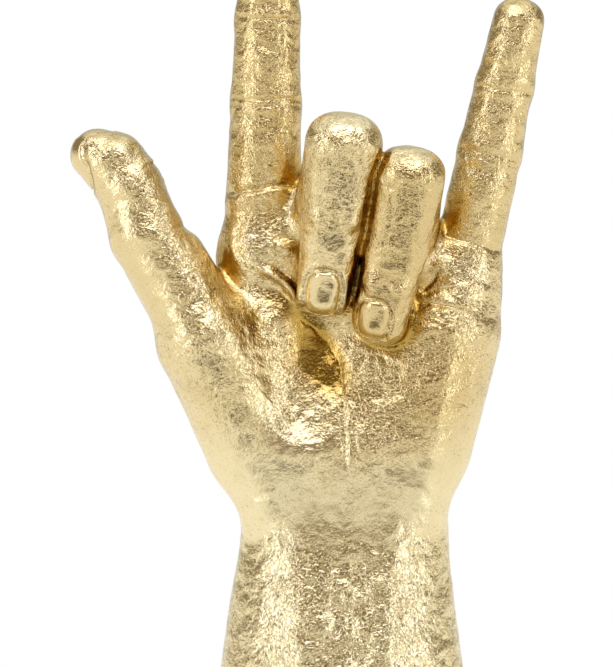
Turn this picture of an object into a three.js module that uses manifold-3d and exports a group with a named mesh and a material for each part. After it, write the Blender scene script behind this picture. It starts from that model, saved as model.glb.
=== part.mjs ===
// A life-size left hand of gilded cast resin, standing on the cut end of its forearm.
// The index and little fingers stand up, the thumb is stretched out, and the middle and ring fingers
// are folded with their tips pressed on the palm. Each digit is a casting of its own, keyed into the
// palm by a spigot, and steel rods carry the three long digits over their joints.
// Units are millimetres. +Z is up, the palm faces -Y and the thumb points to -X.
// The origin is the middle of the felt pad's underside.

import * as THREE from "three";
import { edgeTable, triTable } from "three/addons/objects/MarchingCubes.js";
import { mergeVertices } from "three/addons/utils/BufferGeometryUtils.js";
import Module from "manifold-3d";

const wasm = await Module();
wasm.setup();

// Main sizes: the palm's breadth over the knuckles, the hand's length from the narrowest of the wrist
// to the tip of the index finger, and the forearm's length from the foot to the wrist
const PALM_BREADTH = 86;
const HAND_LENGTH = 181;
const FOREARM_LENGTH = 73;

// The same sizes on the drawing from which the tables below were taken
const DRAWN_BREADTH = 86;
const DRAWN_LENGTH = 181;
const DRAWN_FOREARM = 73;

// Foot: a felt pad under a plate that closes the ballast pocket
const FELT_THICKNESS = 2;
const FELT_INSET = 1.5;
const PLATE_THICKNESS = 4;
const PLATE_LEDGE = 4;
const BALLAST = { halfWidth: 24, halfDepth: 16, height: 46, taper: 3 };

// Clearance between pieces that are glued together, filled by the adhesive
const GLUE_GAP = 0.3;

// Spigots and rods at the roots of the digits
const SPIGOT_HALF_SIDE = 4.2;
const SPIGOT_LENGTH = 7;
const SPIGOT_TAPER = 0.8;
const SPIGOT_ROOT = 2;
const ROD_RADIUS = 1.5;
const ROD_IN_PALM = 24;

// Facet sizes of the two kinds of casting
const PALM_CELL = 5;
const DIGIT_CELL = 3.4;

// The drawn oval sections of the arm, from the foot through the wrist into the palm
const DRAWN_ARM = {
  foot: { z: 0, halfWidth: 40.5, halfDepth: 29.5, x: 0, y: 0 },
  lower_forearm: { z: 32, halfWidth: 36.9, halfDepth: 26.5, x: -0.4, y: 0.6 },
  upper_forearm: { z: 54, halfWidth: 33.9, halfDepth: 23.5, x: -0.2, y: 0.9 },
  wrist: { z: 73, halfWidth: 31.6, halfDepth: 21, x: 0.6, y: 0.8 },
  heel: { z: 90, halfWidth: 32, halfDepth: 18, x: 0.5, y: 0.4 },
  lower_palm: { z: 112, halfWidth: 36, halfDepth: 15, x: 0.5, y: 0.8 },
  upper_palm: { z: 134, halfWidth: 37.5, halfDepth: 13, x: 2.5, y: 1.2 },
  knuckles: { z: 152, halfWidth: 34, halfDepth: 11.5, x: 6, y: 1.6 },
};
const ARM_SQUARENESS = 2.35;

// Each drawn digit: where its knuckle joint is, how it leans to the little finger's side, which way its
// soft side is turned, and its bones from the knuckle to the centre of the tip. A bend turns a bone
// towards the soft side. Half widths are at the joints, and depthShare is a digit's depth over its
// width. jointAt is where the casting parts from the palm, measured from the knuckle.
const DRAWN_DIGITS = {
  thumb: {
    knuckle: [-42.4, -13, 132.9],
    lean: -39.3,
    roll: 95.2,
    bones: [34.4, 15.4, 8.8, 5.7],
    bends: [9.9, 10.4, -17.7, -21.2],
    halfWidths: [12.5, 12, 10.7, 9.8, 8.2],
    depthShare: 0.93,
    squareness: 2.3,
    jointAt: 24,
    rodLength: 54,
    nail: { halfWidth: 7, halfLength: 8, ahead: 0.6, aside: 0 },
  },
  index_finger: {
    knuckle: [-24.6, 0, 157],
    lean: 1.4,
    roll: -0.7,
    bones: [46.6, 25.2, 17.6],
    bends: [2.5, 0, 4.2],
    halfWidths: [12.2, 10.6, 9.8, 8.2],
    depthShare: 0.9,
    squareness: 2.3,
    jointAt: 20,
    rodLength: 78,
    nail: { halfWidth: 5.8, halfLength: 7, ahead: 0, aside: 0 },
  },
  middle_finger: {
    knuckle: [-3.8, 1, 165],
    lean: 7.2,
    roll: 0.9,
    bones: [44, 23.9, 22.4],
    bends: [57.2, 147.5, -10.4],
    halfWidths: [12.3, 11.2, 9.9, 8],
    depthShare: 0.9,
    squareness: 2.4,
    jointAt: 14,
    rodLength: 0,
    nail: { halfWidth: 5.7, halfLength: 7.7, ahead: -1.6, aside: -0.5 },
  },
  ring_finger: {
    knuckle: [16.6, 1, 158],
    lean: 12.5,
    roll: -3,
    bones: [41.6, 23.1, 22.1],
    bends: [58.8, 145.6, -11.4],
    halfWidths: [11.8, 10, 9.5, 8.3],
    depthShare: 0.92,
    squareness: 2.5,
    jointAt: 13,
    rodLength: 0,
    nail: { halfWidth: 5.3, halfLength: 6.5, ahead: -1, aside: -2 },
  },
  little_finger: {
    knuckle: [36, -1, 149],
    lean: 12.3,
    roll: -1,
    bones: [40.6, 20.3, 20.1],
    bends: [2.8, 0, 2.9],
    halfWidths: [10.4, 9.6, 8.8, 7.9],
    depthShare: 0.92,
    squareness: 2.2,
    jointAt: 17,
    rodLength: 66,
    nail: { halfWidth: 4.9, halfLength: 5.8, ahead: 0, aside: 0 },
  },
};
const BONE_BLEND = 1.5;
const NAIL_LIFT = 0.5;
const NAIL_SIDES = 20;

// The palm's drawn flesh: tapered limbs that run into the arm and into each other
const DRAWN_FLESH = {
  index_ray: { from: [-13, 2, 100], to: [-25, 0.5, 157], half: [11, 12.4], depthShare: 0.96, blend: 12 },
  middle_ray: { from: [-4, 3, 100], to: [-3.8, 1.5, 164], half: [11, 12.4], depthShare: 0.92, blend: 12 },
  ring_ray: { from: [6, 3, 100], to: [16.6, 1.5, 158], half: [11, 12], depthShare: 0.92, blend: 12 },
  little_ray: { from: [14, 2, 96], to: [36, -1, 149], half: [11, 10.4], depthShare: 0.96, blend: 12 },
  outer_heel: {
    from: [22.6, -4, 99.6], to: [30.9, -3, 132], half: [15.3, 15.3], depthShare: 0.9, blend: 12,
  },
  thumb_ball: {
    from: [-25, -3, 101.2], to: [-40.6, -11, 129], half: [17.7, 15.2], depthShare: 0.94, blend: 14,
  },
  thumb_web: {
    from: [-49.2, -12, 157.6], to: [-41.5, -9, 144.5], half: [7, 6.4], depthShare: 0.9, blend: 3,
  },
};

// The hollow of the palm, sunk into that flesh by a limb in front of it
const DRAWN_HOLLOW = {
  from: [-13, -28.5, 111], to: [-6, -22, 132], half: [14, 12], depthShare: 0.9, blend: 7,
};
const STUB_BLEND = 5;
const STUB_BEYOND_JOINT = 4;
const CLEARING_MARGIN = 2;

// The tables brought from the drawing to the main sizes

const ACROSS = PALM_BREADTH / DRAWN_BREADTH;
const ALONG = HAND_LENGTH / DRAWN_LENGTH;

// A height on the drawing, below the wrist or above it, as a height of the piece
function heightOf(z) {
  const aboveWrist = Math.max(z - DRAWN_FOREARM, 0);
  return (Math.min(z, DRAWN_FOREARM) * FOREARM_LENGTH) / DRAWN_FOREARM + aboveWrist * ALONG;
}

const placed = ([x, y, z]) => [x * ACROSS, y * ACROSS, heightOf(z)];
const widened = (sizes) => sizes.map((size) => size * ACROSS);

const ARM = Object.values(DRAWN_ARM).map(({ z, halfWidth, halfDepth, x, y }) => {
  const [wide, deep, middleX, middleY] = widened([halfWidth, halfDepth, x, y]);
  return { z: heightOf(z), halfWidth: wide, halfDepth: deep, x: middleX, y: middleY };
});

const sizedForm = ({ from, to, half, depthShare, blend }) => ({
  from: placed(from), to: placed(to), half: widened(half), depthShare, blend: blend * ACROSS,
});

const PALM_FLESH = Object.values(DRAWN_FLESH).map(sizedForm);
const PALM_HOLLOW = sizedForm(DRAWN_HOLLOW);

function sizedDigit(digit) {
  const { halfWidth, halfLength, ahead, aside } = digit.nail;
  return {
    ...digit,
    knuckle: placed(digit.knuckle),
    bones: digit.bones.map((bone) => bone * ALONG),
    halfWidths: widened(digit.halfWidths),
    jointAt: digit.jointAt * ALONG,
    rodLength: digit.rodLength * ALONG,
    nail: {
      halfWidth: halfWidth * ACROSS, halfLength: halfLength * ALONG,
      ahead: ahead * ALONG, aside: aside * ACROSS,
    },
  };
}

const DIGITS = Object.fromEntries(
  Object.entries(DRAWN_DIGITS).map(([name, digit]) => [name, sizedDigit(digit)]),
);

// Vectors and smooth joins

const vec = (xyz) => new THREE.Vector3(...xyz);
const radians = THREE.MathUtils.degToRad;

// The shorter of two distances, with the corner between them filled over a width k
function blended(a, b, k) {
  const h = Math.max(k - Math.abs(a - b), 0) / k;
  return Math.min(a, b) - (h * h * k) / 4;
}

// Distance to a tapered limb with round ends, wider along its hinge than across it
function limb(from, to, halves, hinge, depthShare, squareness = 2) {
  const along = to.clone().sub(from);
  const lengthSquared = along.lengthSq();
  return (x, y, z) => {
    let ox = x - from.x;
    let oy = y - from.y;
    let oz = z - from.z;
    const dot = (ox * along.x + oy * along.y + oz * along.z) / lengthSquared;
    const t = Math.min(Math.max(dot, 0), 1);
    ox -= t * along.x;
    oy -= t * along.y;
    oz -= t * along.z;
    const sideways = ox * hinge.x + oy * hinge.y + oz * hinge.z;
    const outwards = Math.sqrt(Math.max(ox * ox + oy * oy + oz * oz - sideways * sideways, 0));
    const half = halves[0] + (halves[1] - halves[0]) * t;
    const n = squareness;
    return ((Math.abs(sideways) * depthShare) ** n + outwards ** n) ** (1 / n) - half * depthShare;
  };
}

// The joints of a digit, from knuckle to tip, each with the next bone's direction and soft side
function posed(digit) {
  const lean = radians(digit.lean);
  const roll = radians(digit.roll);
  const side = new THREE.Vector3(Math.cos(lean), 0, -Math.sin(lean));
  const along = new THREE.Vector3(Math.sin(lean), 0, Math.cos(lean));
  const soft = new THREE.Vector3(0, -Math.cos(roll), 0).addScaledVector(side, Math.sin(roll));
  const hinge = new THREE.Vector3().crossVectors(along, soft);
  const joints = [];
  const at = vec(digit.knuckle);
  digit.bones.forEach((bone, i) => {
    along.applyAxisAngle(hinge, radians(digit.bends[i]));
    soft.applyAxisAngle(hinge, radians(digit.bends[i]));
    joints.push({ at: at.clone(), along: along.clone(), soft: soft.clone(), hinge });
    at.addScaledVector(along, bone);
  });
  joints.push({ at: at.clone(), along: along.clone(), soft: soft.clone(), hinge });
  return joints;
}

// Distance to a digit's skin
function digitSkin(digit) {
  const joints = posed(digit);
  const limbs = digit.bones.map((_, i) => {
    const [from, to] = [joints[i], joints[i + 1]];
    const halves = digit.halfWidths.slice(i, i + 2);
    return limb(from.at, to.at, halves, from.hinge, digit.depthShare, digit.squareness);
  });
  return (x, y, z) => limbs.reduce((d, part) => blended(d, part(x, y, z), BONE_BLEND), Infinity);
}

// One size of the arm at a height, on a smooth curve through the sections
function armSize(key, z) {
  const last = ARM.length - 1;
  const i = Math.min(Math.max(ARM.findIndex((section) => section.z > z) - 1, 0), last - 1);
  const place = z > ARM[last].z ? last - 1 : i;
  const step = (n) => {
    const [before, after] = [ARM[Math.max(n - 1, 0)], ARM[Math.min(n + 1, last)]];
    return (after[key] - before[key]) / (after.z - before.z);
  };
  const [low, high] = [ARM[place], ARM[place + 1]];
  const span = high.z - low.z;
  const t = Math.min(Math.max((z - low.z) / span, 0), 1);
  const ease = t * t * (3 - 2 * t);
  const bow = t * (1 - t) * span * ((1 - t) * step(place) - t * step(place + 1));
  return low[key] + (high[key] - low[key]) * ease + bow;
}

// Distance to the arm's skin: a loft of ovals, open past the foot
function armSkin(x, y, z) {
  const [ox, oy] = [x - armSize("x", z), y - armSize("y", z)];
  const [halfWidth, halfDepth] = [armSize("halfWidth", z), armSize("halfDepth", z)];
  const n = ARM_SQUARENESS;
  const share = ((Math.abs(ox) / halfWidth) ** n + (Math.abs(oy) / halfDepth) ** n) ** (1 / n);
  const radius = Math.hypot(ox, oy);
  const side = share > 1e-6 ? radius - radius / share : -halfDepth;
  return Math.max(side, z - ARM.at(-1).z, -2 * PALM_CELL - z);
}

// Distance to the skin of the palm, the arm and the stubs that the digits stand on
function palmSkin() {
  const across = new THREE.Vector3(1, 0, 0);
  const formed = ({ from, to, half, depthShare, blend }) => ({
    skin: limb(vec(from), vec(to), half, across, depthShare),
    blend,
  });
  const flesh = PALM_FLESH.map(formed);
  const hollow = formed(PALM_HOLLOW);
  const stubs = Object.values(DIGITS).map((digit) => {
    const [knuckle] = posed(digit);
    const reach = digit.jointAt + STUB_BEYOND_JOINT;
    const end = knuckle.at.clone().addScaledVector(knuckle.along, reach);
    const [wide, narrow] = digit.halfWidths;
    const atEnd = wide + ((narrow - wide) * reach) / digit.bones[0];
    return limb(knuckle.at, end, [wide, atEnd], knuckle.hinge, digit.depthShare, digit.squareness);
  });
  return (x, y, z) => {
    let d = armSkin(x, y, z);
    for (const { skin, blend } of flesh) d = blended(d, skin(x, y, z), blend);
    for (const stub of stubs) d = blended(d, stub(x, y, z), STUB_BLEND);
    return -blended(-d, hollow.skin(x, y, z), hollow.blend);
  };
}

// Surfaces

// The corners and edges of a cell, in the order that the marching cubes tables use
const CORNERS = [
  [0, 0, 0], [1, 0, 0], [1, 1, 0], [0, 1, 0],
  [0, 0, 1], [1, 0, 1], [1, 1, 1], [0, 1, 1],
];
const EDGES = [
  [0, 1], [1, 2], [3, 2], [0, 3],
  [4, 5], [5, 6], [7, 6], [4, 7],
  [0, 4], [1, 5], [2, 6], [3, 7],
];
const LEAST_SHARE = 0.12;
const RELAX_ROUNDS = 4;
const RELAX_SHARE = 0.5;
const SLOPE_STEP = 0.05;
const LEAST_SLOPE = 0.25;

// The closed surface where a distance is level, on a grid of cells inside a box
function marched(distance, box, cell, level) {
  const counts = box.getSize(new THREE.Vector3()).toArray().map((side) => Math.ceil(side / cell) + 1);
  const [nx, ny, nz] = counts;
  const index = (i, j, k) => i + nx * (j + ny * k);
  const place = (i, j, k) => [box.min.x + i * cell, box.min.y + j * cell, box.min.z + k * cell];
  const samples = new Float32Array(nx * ny * nz);
  for (let k = 0; k < nz; k += 1)
    for (let j = 0; j < ny; j += 1)
      for (let i = 0; i < nx; i += 1) samples[index(i, j, k)] = distance(...place(i, j, k)) - level;
  const points = [];
  const faces = [];
  const known = new Map();
  const pointOn = (i, j, k, edge) => {
    const [a, b] = EDGES[edge].map((corner) => CORNERS[corner].map((c, axis) => c + [i, j, k][axis]));
    const key = index(...a) * 3 + [0, 1, 2].find((axis) => a[axis] !== b[axis]);
    if (!known.has(key)) {
      const [da, db] = [samples[index(...a)], samples[index(...b)]];
      const share = Math.min(Math.max(da / (da - db), LEAST_SHARE), 1 - LEAST_SHARE);
      const [pa, pb] = [place(...a), place(...b)];
      points.push(pa.map((c, axis) => c + (pb[axis] - c) * share));
      known.set(key, points.length - 1);
    }
    return known.get(key);
  };
  for (let k = 0; k < nz - 1; k += 1)
    for (let j = 0; j < ny - 1; j += 1)
      for (let i = 0; i < nx - 1; i += 1) {
        let cube = 0;
        CORNERS.forEach(([ci, cj, ck], bit) => {
          if (samples[index(i + ci, j + cj, k + ck)] > 0) cube |= 1 << bit;
        });
        if (edgeTable[cube] === 0) continue;
        for (let t = cube * 16; triTable[t] !== -1; t += 3)
          faces.push([0, 1, 2].map((n) => pointOn(i, j, k, triTable[t + n])));
      }
  return { points, faces };
}

// Evens out the facets and lays their corners back on the surface
function relaxed({ points, faces }, distance, level) {
  const near = points.map(() => new Set());
  for (const face of faces)
    face.forEach((corner, n) => near[corner].add(face[(n + 1) % 3]).add(face[(n + 2) % 3]));
  const onSurface = ([x, y, z]) => {
    const d = distance(x, y, z) - level;
    const slope = [
      distance(x + SLOPE_STEP, y, z) - distance(x - SLOPE_STEP, y, z),
      distance(x, y + SLOPE_STEP, z) - distance(x, y - SLOPE_STEP, z),
      distance(x, y, z + SLOPE_STEP) - distance(x, y, z - SLOPE_STEP),
    ].map((rise) => rise / (2 * SLOPE_STEP));
    const steepness = slope.reduce((sum, s) => sum + s * s, 0);
    return [x, y, z].map((c, axis) => c - (d * slope[axis]) / Math.max(steepness, LEAST_SLOPE));
  };
  let now = points;
  for (let round = 0; round < RELAX_ROUNDS; round += 1) {
    const last = now;
    now = last.map((point, n) => {
      const around = [...near[n]];
      const eased = point.map((c, axis) => {
        const middle = around.reduce((sum, other) => sum + last[other][axis], 0) / around.length;
        return c + (middle - c) * RELAX_SHARE;
      });
      return onSurface(eased);
    });
  }
  return { points: now, faces };
}

// A solid from points and triangles, turned face out if need be
function solidFrom({ points, faces }) {
  const build = (corners) =>
    new wasm.Manifold(
      new wasm.Mesh({
        numProp: 3,
        vertProperties: new Float32Array(points.flat()),
        triVerts: new Uint32Array(corners.flat()),
      }),
    );
  const made = build(faces);
  return made.volume() > 0 ? made : build(faces.map(([a, b, c]) => [a, c, b]));
}

const polygonised = (distance, box, cell, level = 0) =>
  solidFrom(relaxed(marched(distance, box, cell, level), distance, level));

// A solid from a closed three.js geometry
function solidOf(geometry) {
  const bare = new THREE.BufferGeometry();
  bare.setAttribute("position", geometry.getAttribute("position").clone());
  bare.setIndex(geometry.index);
  const merged = mergeVertices(bare, 1e-3);
  return new wasm.Manifold(
    new wasm.Mesh({
      numProp: 3,
      vertProperties: merged.attributes.position.array,
      triVerts: new Uint32Array(merged.index.array),
    }),
  );
}

// The three.js geometry of a solid
function geometryOf(solid) {
  const mesh = solid.getMesh();
  const geometry = new THREE.BufferGeometry();
  geometry.setAttribute("position", new THREE.BufferAttribute(new Float32Array(mesh.vertProperties), 3));
  geometry.setIndex(new THREE.BufferAttribute(new Uint32Array(mesh.triVerts), 1));
  const faceted = geometry.toNonIndexed();
  faceted.computeVertexNormals();
  return faceted;
}

// An upright oval block, narrower at the top by a taper
function ovalBlock(halfWidth, halfDepth, bottom, height, taper = 0) {
  const top = 1 - taper / halfWidth;
  const block = new THREE.CylinderGeometry(top, 1, height, 40, 1).rotateX(Math.PI / 2);
  block.scale(halfWidth, halfDepth, 1).translate(ARM[0].x, ARM[0].y, bottom + height / 2);
  return solidOf(block);
}

// An outline of a rounded oval of a given squareness
function ovalOutline(halfWidth, halfLength, squareness, sides) {
  const bowed = (value, half) => Math.sign(value) * half * Math.abs(value) ** (2 / squareness);
  const corners = Array.from({ length: sides }, (_, i) => {
    const turn = (i * 2 * Math.PI) / sides;
    return new THREE.Vector2(bowed(Math.cos(turn), halfWidth), bowed(Math.sin(turn), halfLength));
  });
  return new THREE.Shape(corners);
}

// Joints between the castings

// The root joint's frame: +Z runs up the digit, +Y is its back, and the origin is on the joint
function rootFrame(digit) {
  const [knuckle] = posed(digit);
  const back = knuckle.soft.clone().negate();
  const origin = knuckle.at.clone().addScaledVector(knuckle.along, digit.jointAt);
  return new THREE.Matrix4().makeBasis(knuckle.hinge, back, knuckle.along).setPosition(origin);
}

const atRoot = (digit, geometry) => solidOf(geometry.applyMatrix4(rootFrame(digit)));

// A block over the root joint's section, from one height to another
function rootBlock(digit, from, to) {
  const half = digit.halfWidths[0] + CLEARING_MARGIN;
  const block = new THREE.BoxGeometry(2 * half, 2 * half * digit.depthShare, to - from);
  return atRoot(digit, block.translate(0, 0, (from + to) / 2));
}

// The tapered square key under a digit, or its socket where it is grown by a clearance
function spigot(digit, grown) {
  const [wide, narrow] = [SPIGOT_HALF_SIDE + grown, SPIGOT_HALF_SIDE - SPIGOT_TAPER + grown];
  const length = SPIGOT_LENGTH + grown + SPIGOT_ROOT;
  const key = new THREE.CylinderGeometry(wide * Math.SQRT2, narrow * Math.SQRT2, length, 4, 1);
  key.rotateY(Math.PI / 4).rotateX(Math.PI / 2).translate(0, 0, SPIGOT_ROOT - length / 2);
  return atRoot(digit, key);
}

// The steel rod over a root joint, or its hole where it is grown by a clearance
function rod(digit, grown) {
  const radius = ROD_RADIUS + grown;
  const bar = new THREE.CylinderGeometry(radius, radius, digit.rodLength + 2 * grown, 16, 1);
  return atRoot(digit, bar.rotateX(Math.PI / 2).translate(0, 0, digit.rodLength / 2 - ROD_IN_PALM));
}

// Castings

// The box round a digit's skin
function digitBox(digit) {
  const box = new THREE.Box3().setFromPoints(posed(digit).map((joint) => joint.at));
  return box.expandByScalar(Math.max(...digit.halfWidths) + 1.5 * DIGIT_CELL);
}

// A digit beyond its root joint, with its skin moved out by a level
function beyondRoot(digit, level) {
  const whole = polygonised(digitSkin(digit), digitBox(digit), DIGIT_CELL, level);
  return whole.subtract(rootBlock(digit, -digit.jointAt - 2 * digit.halfWidths[0], -level));
}

// The nail: the part of the back of the tip inside the nail's outline, lifted off the skin. It lies
// along the tapered back, ahead of the tip's centre and aside of it along the hinge.
function nail(digit) {
  const { halfWidth, halfLength, ahead, aside } = digit.nail;
  const tip = posed(digit).at(-1);
  const outline = ovalOutline(halfWidth, halfLength, 3, NAIL_SIDES);
  const [before, depth] = digit.halfWidths.slice(-2).map((half) => 2 * half);
  const column = new THREE.ExtrudeGeometry(outline, { depth, bevelEnabled: false });
  const taper = Math.atan(((before - depth) * digit.depthShare) / (2 * digit.bones.at(-1)));
  const [along, soft] = [tip.along, tip.soft].map((axis) => axis.applyAxisAngle(tip.hinge, taper));
  const [across, back] = [tip.hinge, soft].map((axis) => axis.clone().negate());
  const frame = new THREE.Matrix4().makeBasis(across, along, back);
  column.translate(-aside, ahead, 0).applyMatrix4(frame.setPosition(tip.at));
  return beyondRoot(digit, NAIL_LIFT).intersect(solidOf(column));
}

function digitCasting(digit, cutters) {
  let made = beyondRoot(digit, 0).add(nail(digit)).add(spigot(digit, 0));
  for (const cutter of cutters) made = made.subtract(cutter);
  return digit.rodLength > 0 ? made.subtract(rod(digit, GLUE_GAP)) : made;
}

// The palm and forearm, with sockets for the digits, nests for the folded tips and the foot's pocket
function palmCasting() {
  const foot = ARM[0];
  const corners = Object.values(DIGITS).map((digit) => vec(digit.knuckle));
  corners.push(new THREE.Vector3(-foot.halfWidth, -foot.halfDepth, -4 * PALM_CELL));
  corners.push(new THREE.Vector3(foot.halfWidth, foot.halfDepth, 0));
  const box = new THREE.Box3().setFromPoints(corners).expandByScalar(8 * PALM_CELL);
  let made = polygonised(palmSkin(), box, PALM_CELL);
  const floor = new THREE.BoxGeometry(4 * foot.halfWidth, 4 * foot.halfDepth, 20 * PALM_CELL);
  made = made.subtract(solidOf(floor.translate(0, 0, FELT_THICKNESS - 10 * PALM_CELL)));
  for (const digit of Object.values(DIGITS)) {
    const reach = STUB_BEYOND_JOINT + digit.halfWidths[0] + CLEARING_MARGIN;
    made = made.subtract(rootBlock(digit, -GLUE_GAP, reach));
    made = made.subtract(beyondRoot(digit, GLUE_GAP)).subtract(spigot(digit, GLUE_GAP));
    if (digit.rodLength > 0) made = made.subtract(rod(digit, GLUE_GAP));
  }
  return made.subtract(ballastBlock(GLUE_GAP)).subtract(basePlate(GLUE_GAP));
}

// The ballast block, or its pocket where it is grown by a clearance
function ballastBlock(grown) {
  const { halfWidth, halfDepth, height, taper } = BALLAST;
  const bottom = FELT_THICKNESS + PLATE_THICKNESS - grown;
  return ovalBlock(halfWidth + grown, halfDepth + grown, bottom, height + 2 * grown, taper);
}

// The base plate, or its recess where it is grown by a clearance
function basePlate(grown) {
  const reach = PLATE_LEDGE + grown;
  const [halfWidth, halfDepth] = [BALLAST.halfWidth + reach, BALLAST.halfDepth + reach];
  return ovalBlock(halfWidth, halfDepth, FELT_THICKNESS - grown, PLATE_THICKNESS + grown);
}

function feltPad() {
  const { halfWidth, halfDepth, x, y } = ARM[0];
  const outline = ovalOutline(halfWidth - FELT_INSET, halfDepth - FELT_INSET, ARM_SQUARENESS, 64);
  const pad = new THREE.ExtrudeGeometry(outline, { depth: FELT_THICKNESS, bevelEnabled: false });
  return solidOf(pad.translate(x, y, 0));
}

const finish = (color, roughness, metalness) =>
  new THREE.MeshStandardMaterial({ color, roughness, metalness });

const hand = new THREE.Group();
hand.name = "hand_sculpture";

function addPiece(name, solid, material) {
  const piece = new THREE.Mesh(geometryOf(solid), material);
  piece.name = name;
  hand.add(piece);
}

addPiece("palm_casting", palmCasting(), finish("#d2b266", 0.32, 1));
const { middle_finger, ring_finger } = DIGITS;
for (const [name, digit] of Object.entries(DIGITS)) {
  const cutters = digit === ring_finger ? [beyondRoot(middle_finger, GLUE_GAP)] : [];
  addPiece(`${name}_casting`, digitCasting(digit, cutters), finish("#d8ba70", 0.3, 1));
  if (digit.rodLength > 0) addPiece(`${name}_rod`, rod(digit, 0), finish("#9a9ea3", 0.35, 1));
}
addPiece("ballast_block", ballastBlock(0), finish("#4a4c4f", 0.6, 0.8));
addPiece("base_plate", basePlate(0), finish("#6f7276", 0.5, 0.9));
addPiece("felt_pad", feltPad(), finish("#1d1c1b", 0.95, 0));

export default hand;
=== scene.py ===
"""Looks, light and camera for a gilded hand sculpture, built round its packed castings.

The skin of the hand is one smooth form: an arm, the flesh of the palm and five posed digits that run
into each other. It is meshed once, given its creases, nails and ridges, and then parted at the same
joints as the castings, so that the gilding runs over the joints as it does on the real piece.
Sizes are in millimetres and turned into metres when a mesh is made. The palm faces -Y.
"""

import logging
import math
from dataclasses import dataclass
from enum import Enum
from functools import cached_property
from typing import Any, Callable, Optional, Union

import bmesh
import bpy
import numpy as np
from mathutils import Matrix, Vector


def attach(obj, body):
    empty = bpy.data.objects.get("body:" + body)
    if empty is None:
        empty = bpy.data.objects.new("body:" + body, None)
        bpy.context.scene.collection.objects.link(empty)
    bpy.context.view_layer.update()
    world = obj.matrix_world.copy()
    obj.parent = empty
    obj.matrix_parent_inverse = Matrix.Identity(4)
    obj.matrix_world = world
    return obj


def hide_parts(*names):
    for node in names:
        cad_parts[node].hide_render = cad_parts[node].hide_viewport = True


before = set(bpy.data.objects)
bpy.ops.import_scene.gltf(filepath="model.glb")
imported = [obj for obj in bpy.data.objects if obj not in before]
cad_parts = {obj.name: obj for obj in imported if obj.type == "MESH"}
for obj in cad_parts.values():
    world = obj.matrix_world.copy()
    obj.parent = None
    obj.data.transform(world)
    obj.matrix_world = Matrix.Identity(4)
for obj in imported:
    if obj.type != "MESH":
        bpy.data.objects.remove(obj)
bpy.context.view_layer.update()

log = logging.getLogger("hand_sculpture")
MM = 0.001
Pair = tuple[float, float]
Point = tuple[float, float, float]
Colour = tuple[float, float, float, float]
Numbers = np.ndarray

# How near to a joint's plane the skin is cut, and how near to it corners are moved onto it
CUT_REACH = 2.5
CUT_SNAP = 0.02


# Small sums used all over


def eased(values: Numbers, low: float, high: float) -> Numbers:
    """How far each value is from low to high, 0 to 1, with soft ends."""
    share = np.clip((values - low) / (high - low), 0.0, 1.0)
    return share * share * (3.0 - 2.0 * share)


def mound(values: Numbers, width: float) -> Numbers:
    """A bell of height 1 over zero, with the given width."""
    return np.exp(-((values / width) ** 2))


def blended(a: Numbers, b: Numbers, width: Union[float, Numbers]) -> Numbers:
    """The lesser of two distances, with the corner between them filled over a width."""
    near = np.maximum(width - np.abs(a - b), 0.0) / width
    return np.minimum(a, b) - near * near * width / 4.0


def turned(vector: Numbers, axis: Numbers, degrees: float) -> Numbers:
    """A vector turned round a unit axis, right-handed.

    Args:
        vector: The vector.
        axis: The axis, of length 1.
        degrees: How far it turns.

    Returns:
        The turned vector.
    """
    angle = math.radians(degrees)
    along = axis * float(axis @ vector)
    return along + (vector - along) * math.cos(angle) + np.cross(axis, vector) * math.sin(angle)


def wandering(points: Numbers, size: float, seed: int) -> Numbers:
    """Smooth noise at points.

    Args:
        points: Points in millimetres, one a row.
        size: The size of its features in millimetres.
        seed: Which noise it is.

    Returns:
        One value from -1 to 1 for each point.
    """
    spots = points / size
    low = np.floor(spots.min(0))
    whole = np.floor(spots - low).astype(int)
    part = spots - low - whole
    part = part * part * (3.0 - 2.0 * part)
    values = np.random.default_rng(seed).uniform(-1.0, 1.0, whole.max(0) + 2)
    total = np.zeros(len(points))
    for corner in np.ndindex(2, 2, 2):
        weight = np.prod(np.where(np.array(corner) == 1, part, 1.0 - part), axis=1)
        total += weight * values[tuple((whole + corner).T)]
    return total


@dataclass
class Wander:
    """Noise at the points of the skin, by which nothing on it runs quite straight."""

    points: Numbers

    @cached_property
    def aside(self) -> Numbers:
        """Slow sway to the side."""
        return wandering(self.points, size=6.5, seed=3)

    @cached_property
    def upwards(self) -> Numbers:
        """Slow sway upwards."""
        return wandering(self.points, size=5.5, seed=8)

    @cached_property
    def small(self) -> Numbers:
        """Quick sway."""
        return wandering(self.points, size=1.9, seed=4)

    @cached_property
    def dents(self) -> Numbers:
        """Shallow dents of the cast skin, in millimetres."""
        broad = wandering(self.points, size=8.0, seed=2)
        return 0.20 * broad + 0.10 * wandering(self.points, size=3.2, seed=5)


# The forms of the hand


class Casting(Enum):
    """The castings of the sculpture, by the names of their solids."""

    PALM = "palm_casting"
    THUMB = "thumb_casting"
    INDEX = "index_finger_casting"
    MIDDLE = "middle_finger_casting"
    RING = "ring_finger_casting"
    LITTLE = "little_finger_casting"


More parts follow.
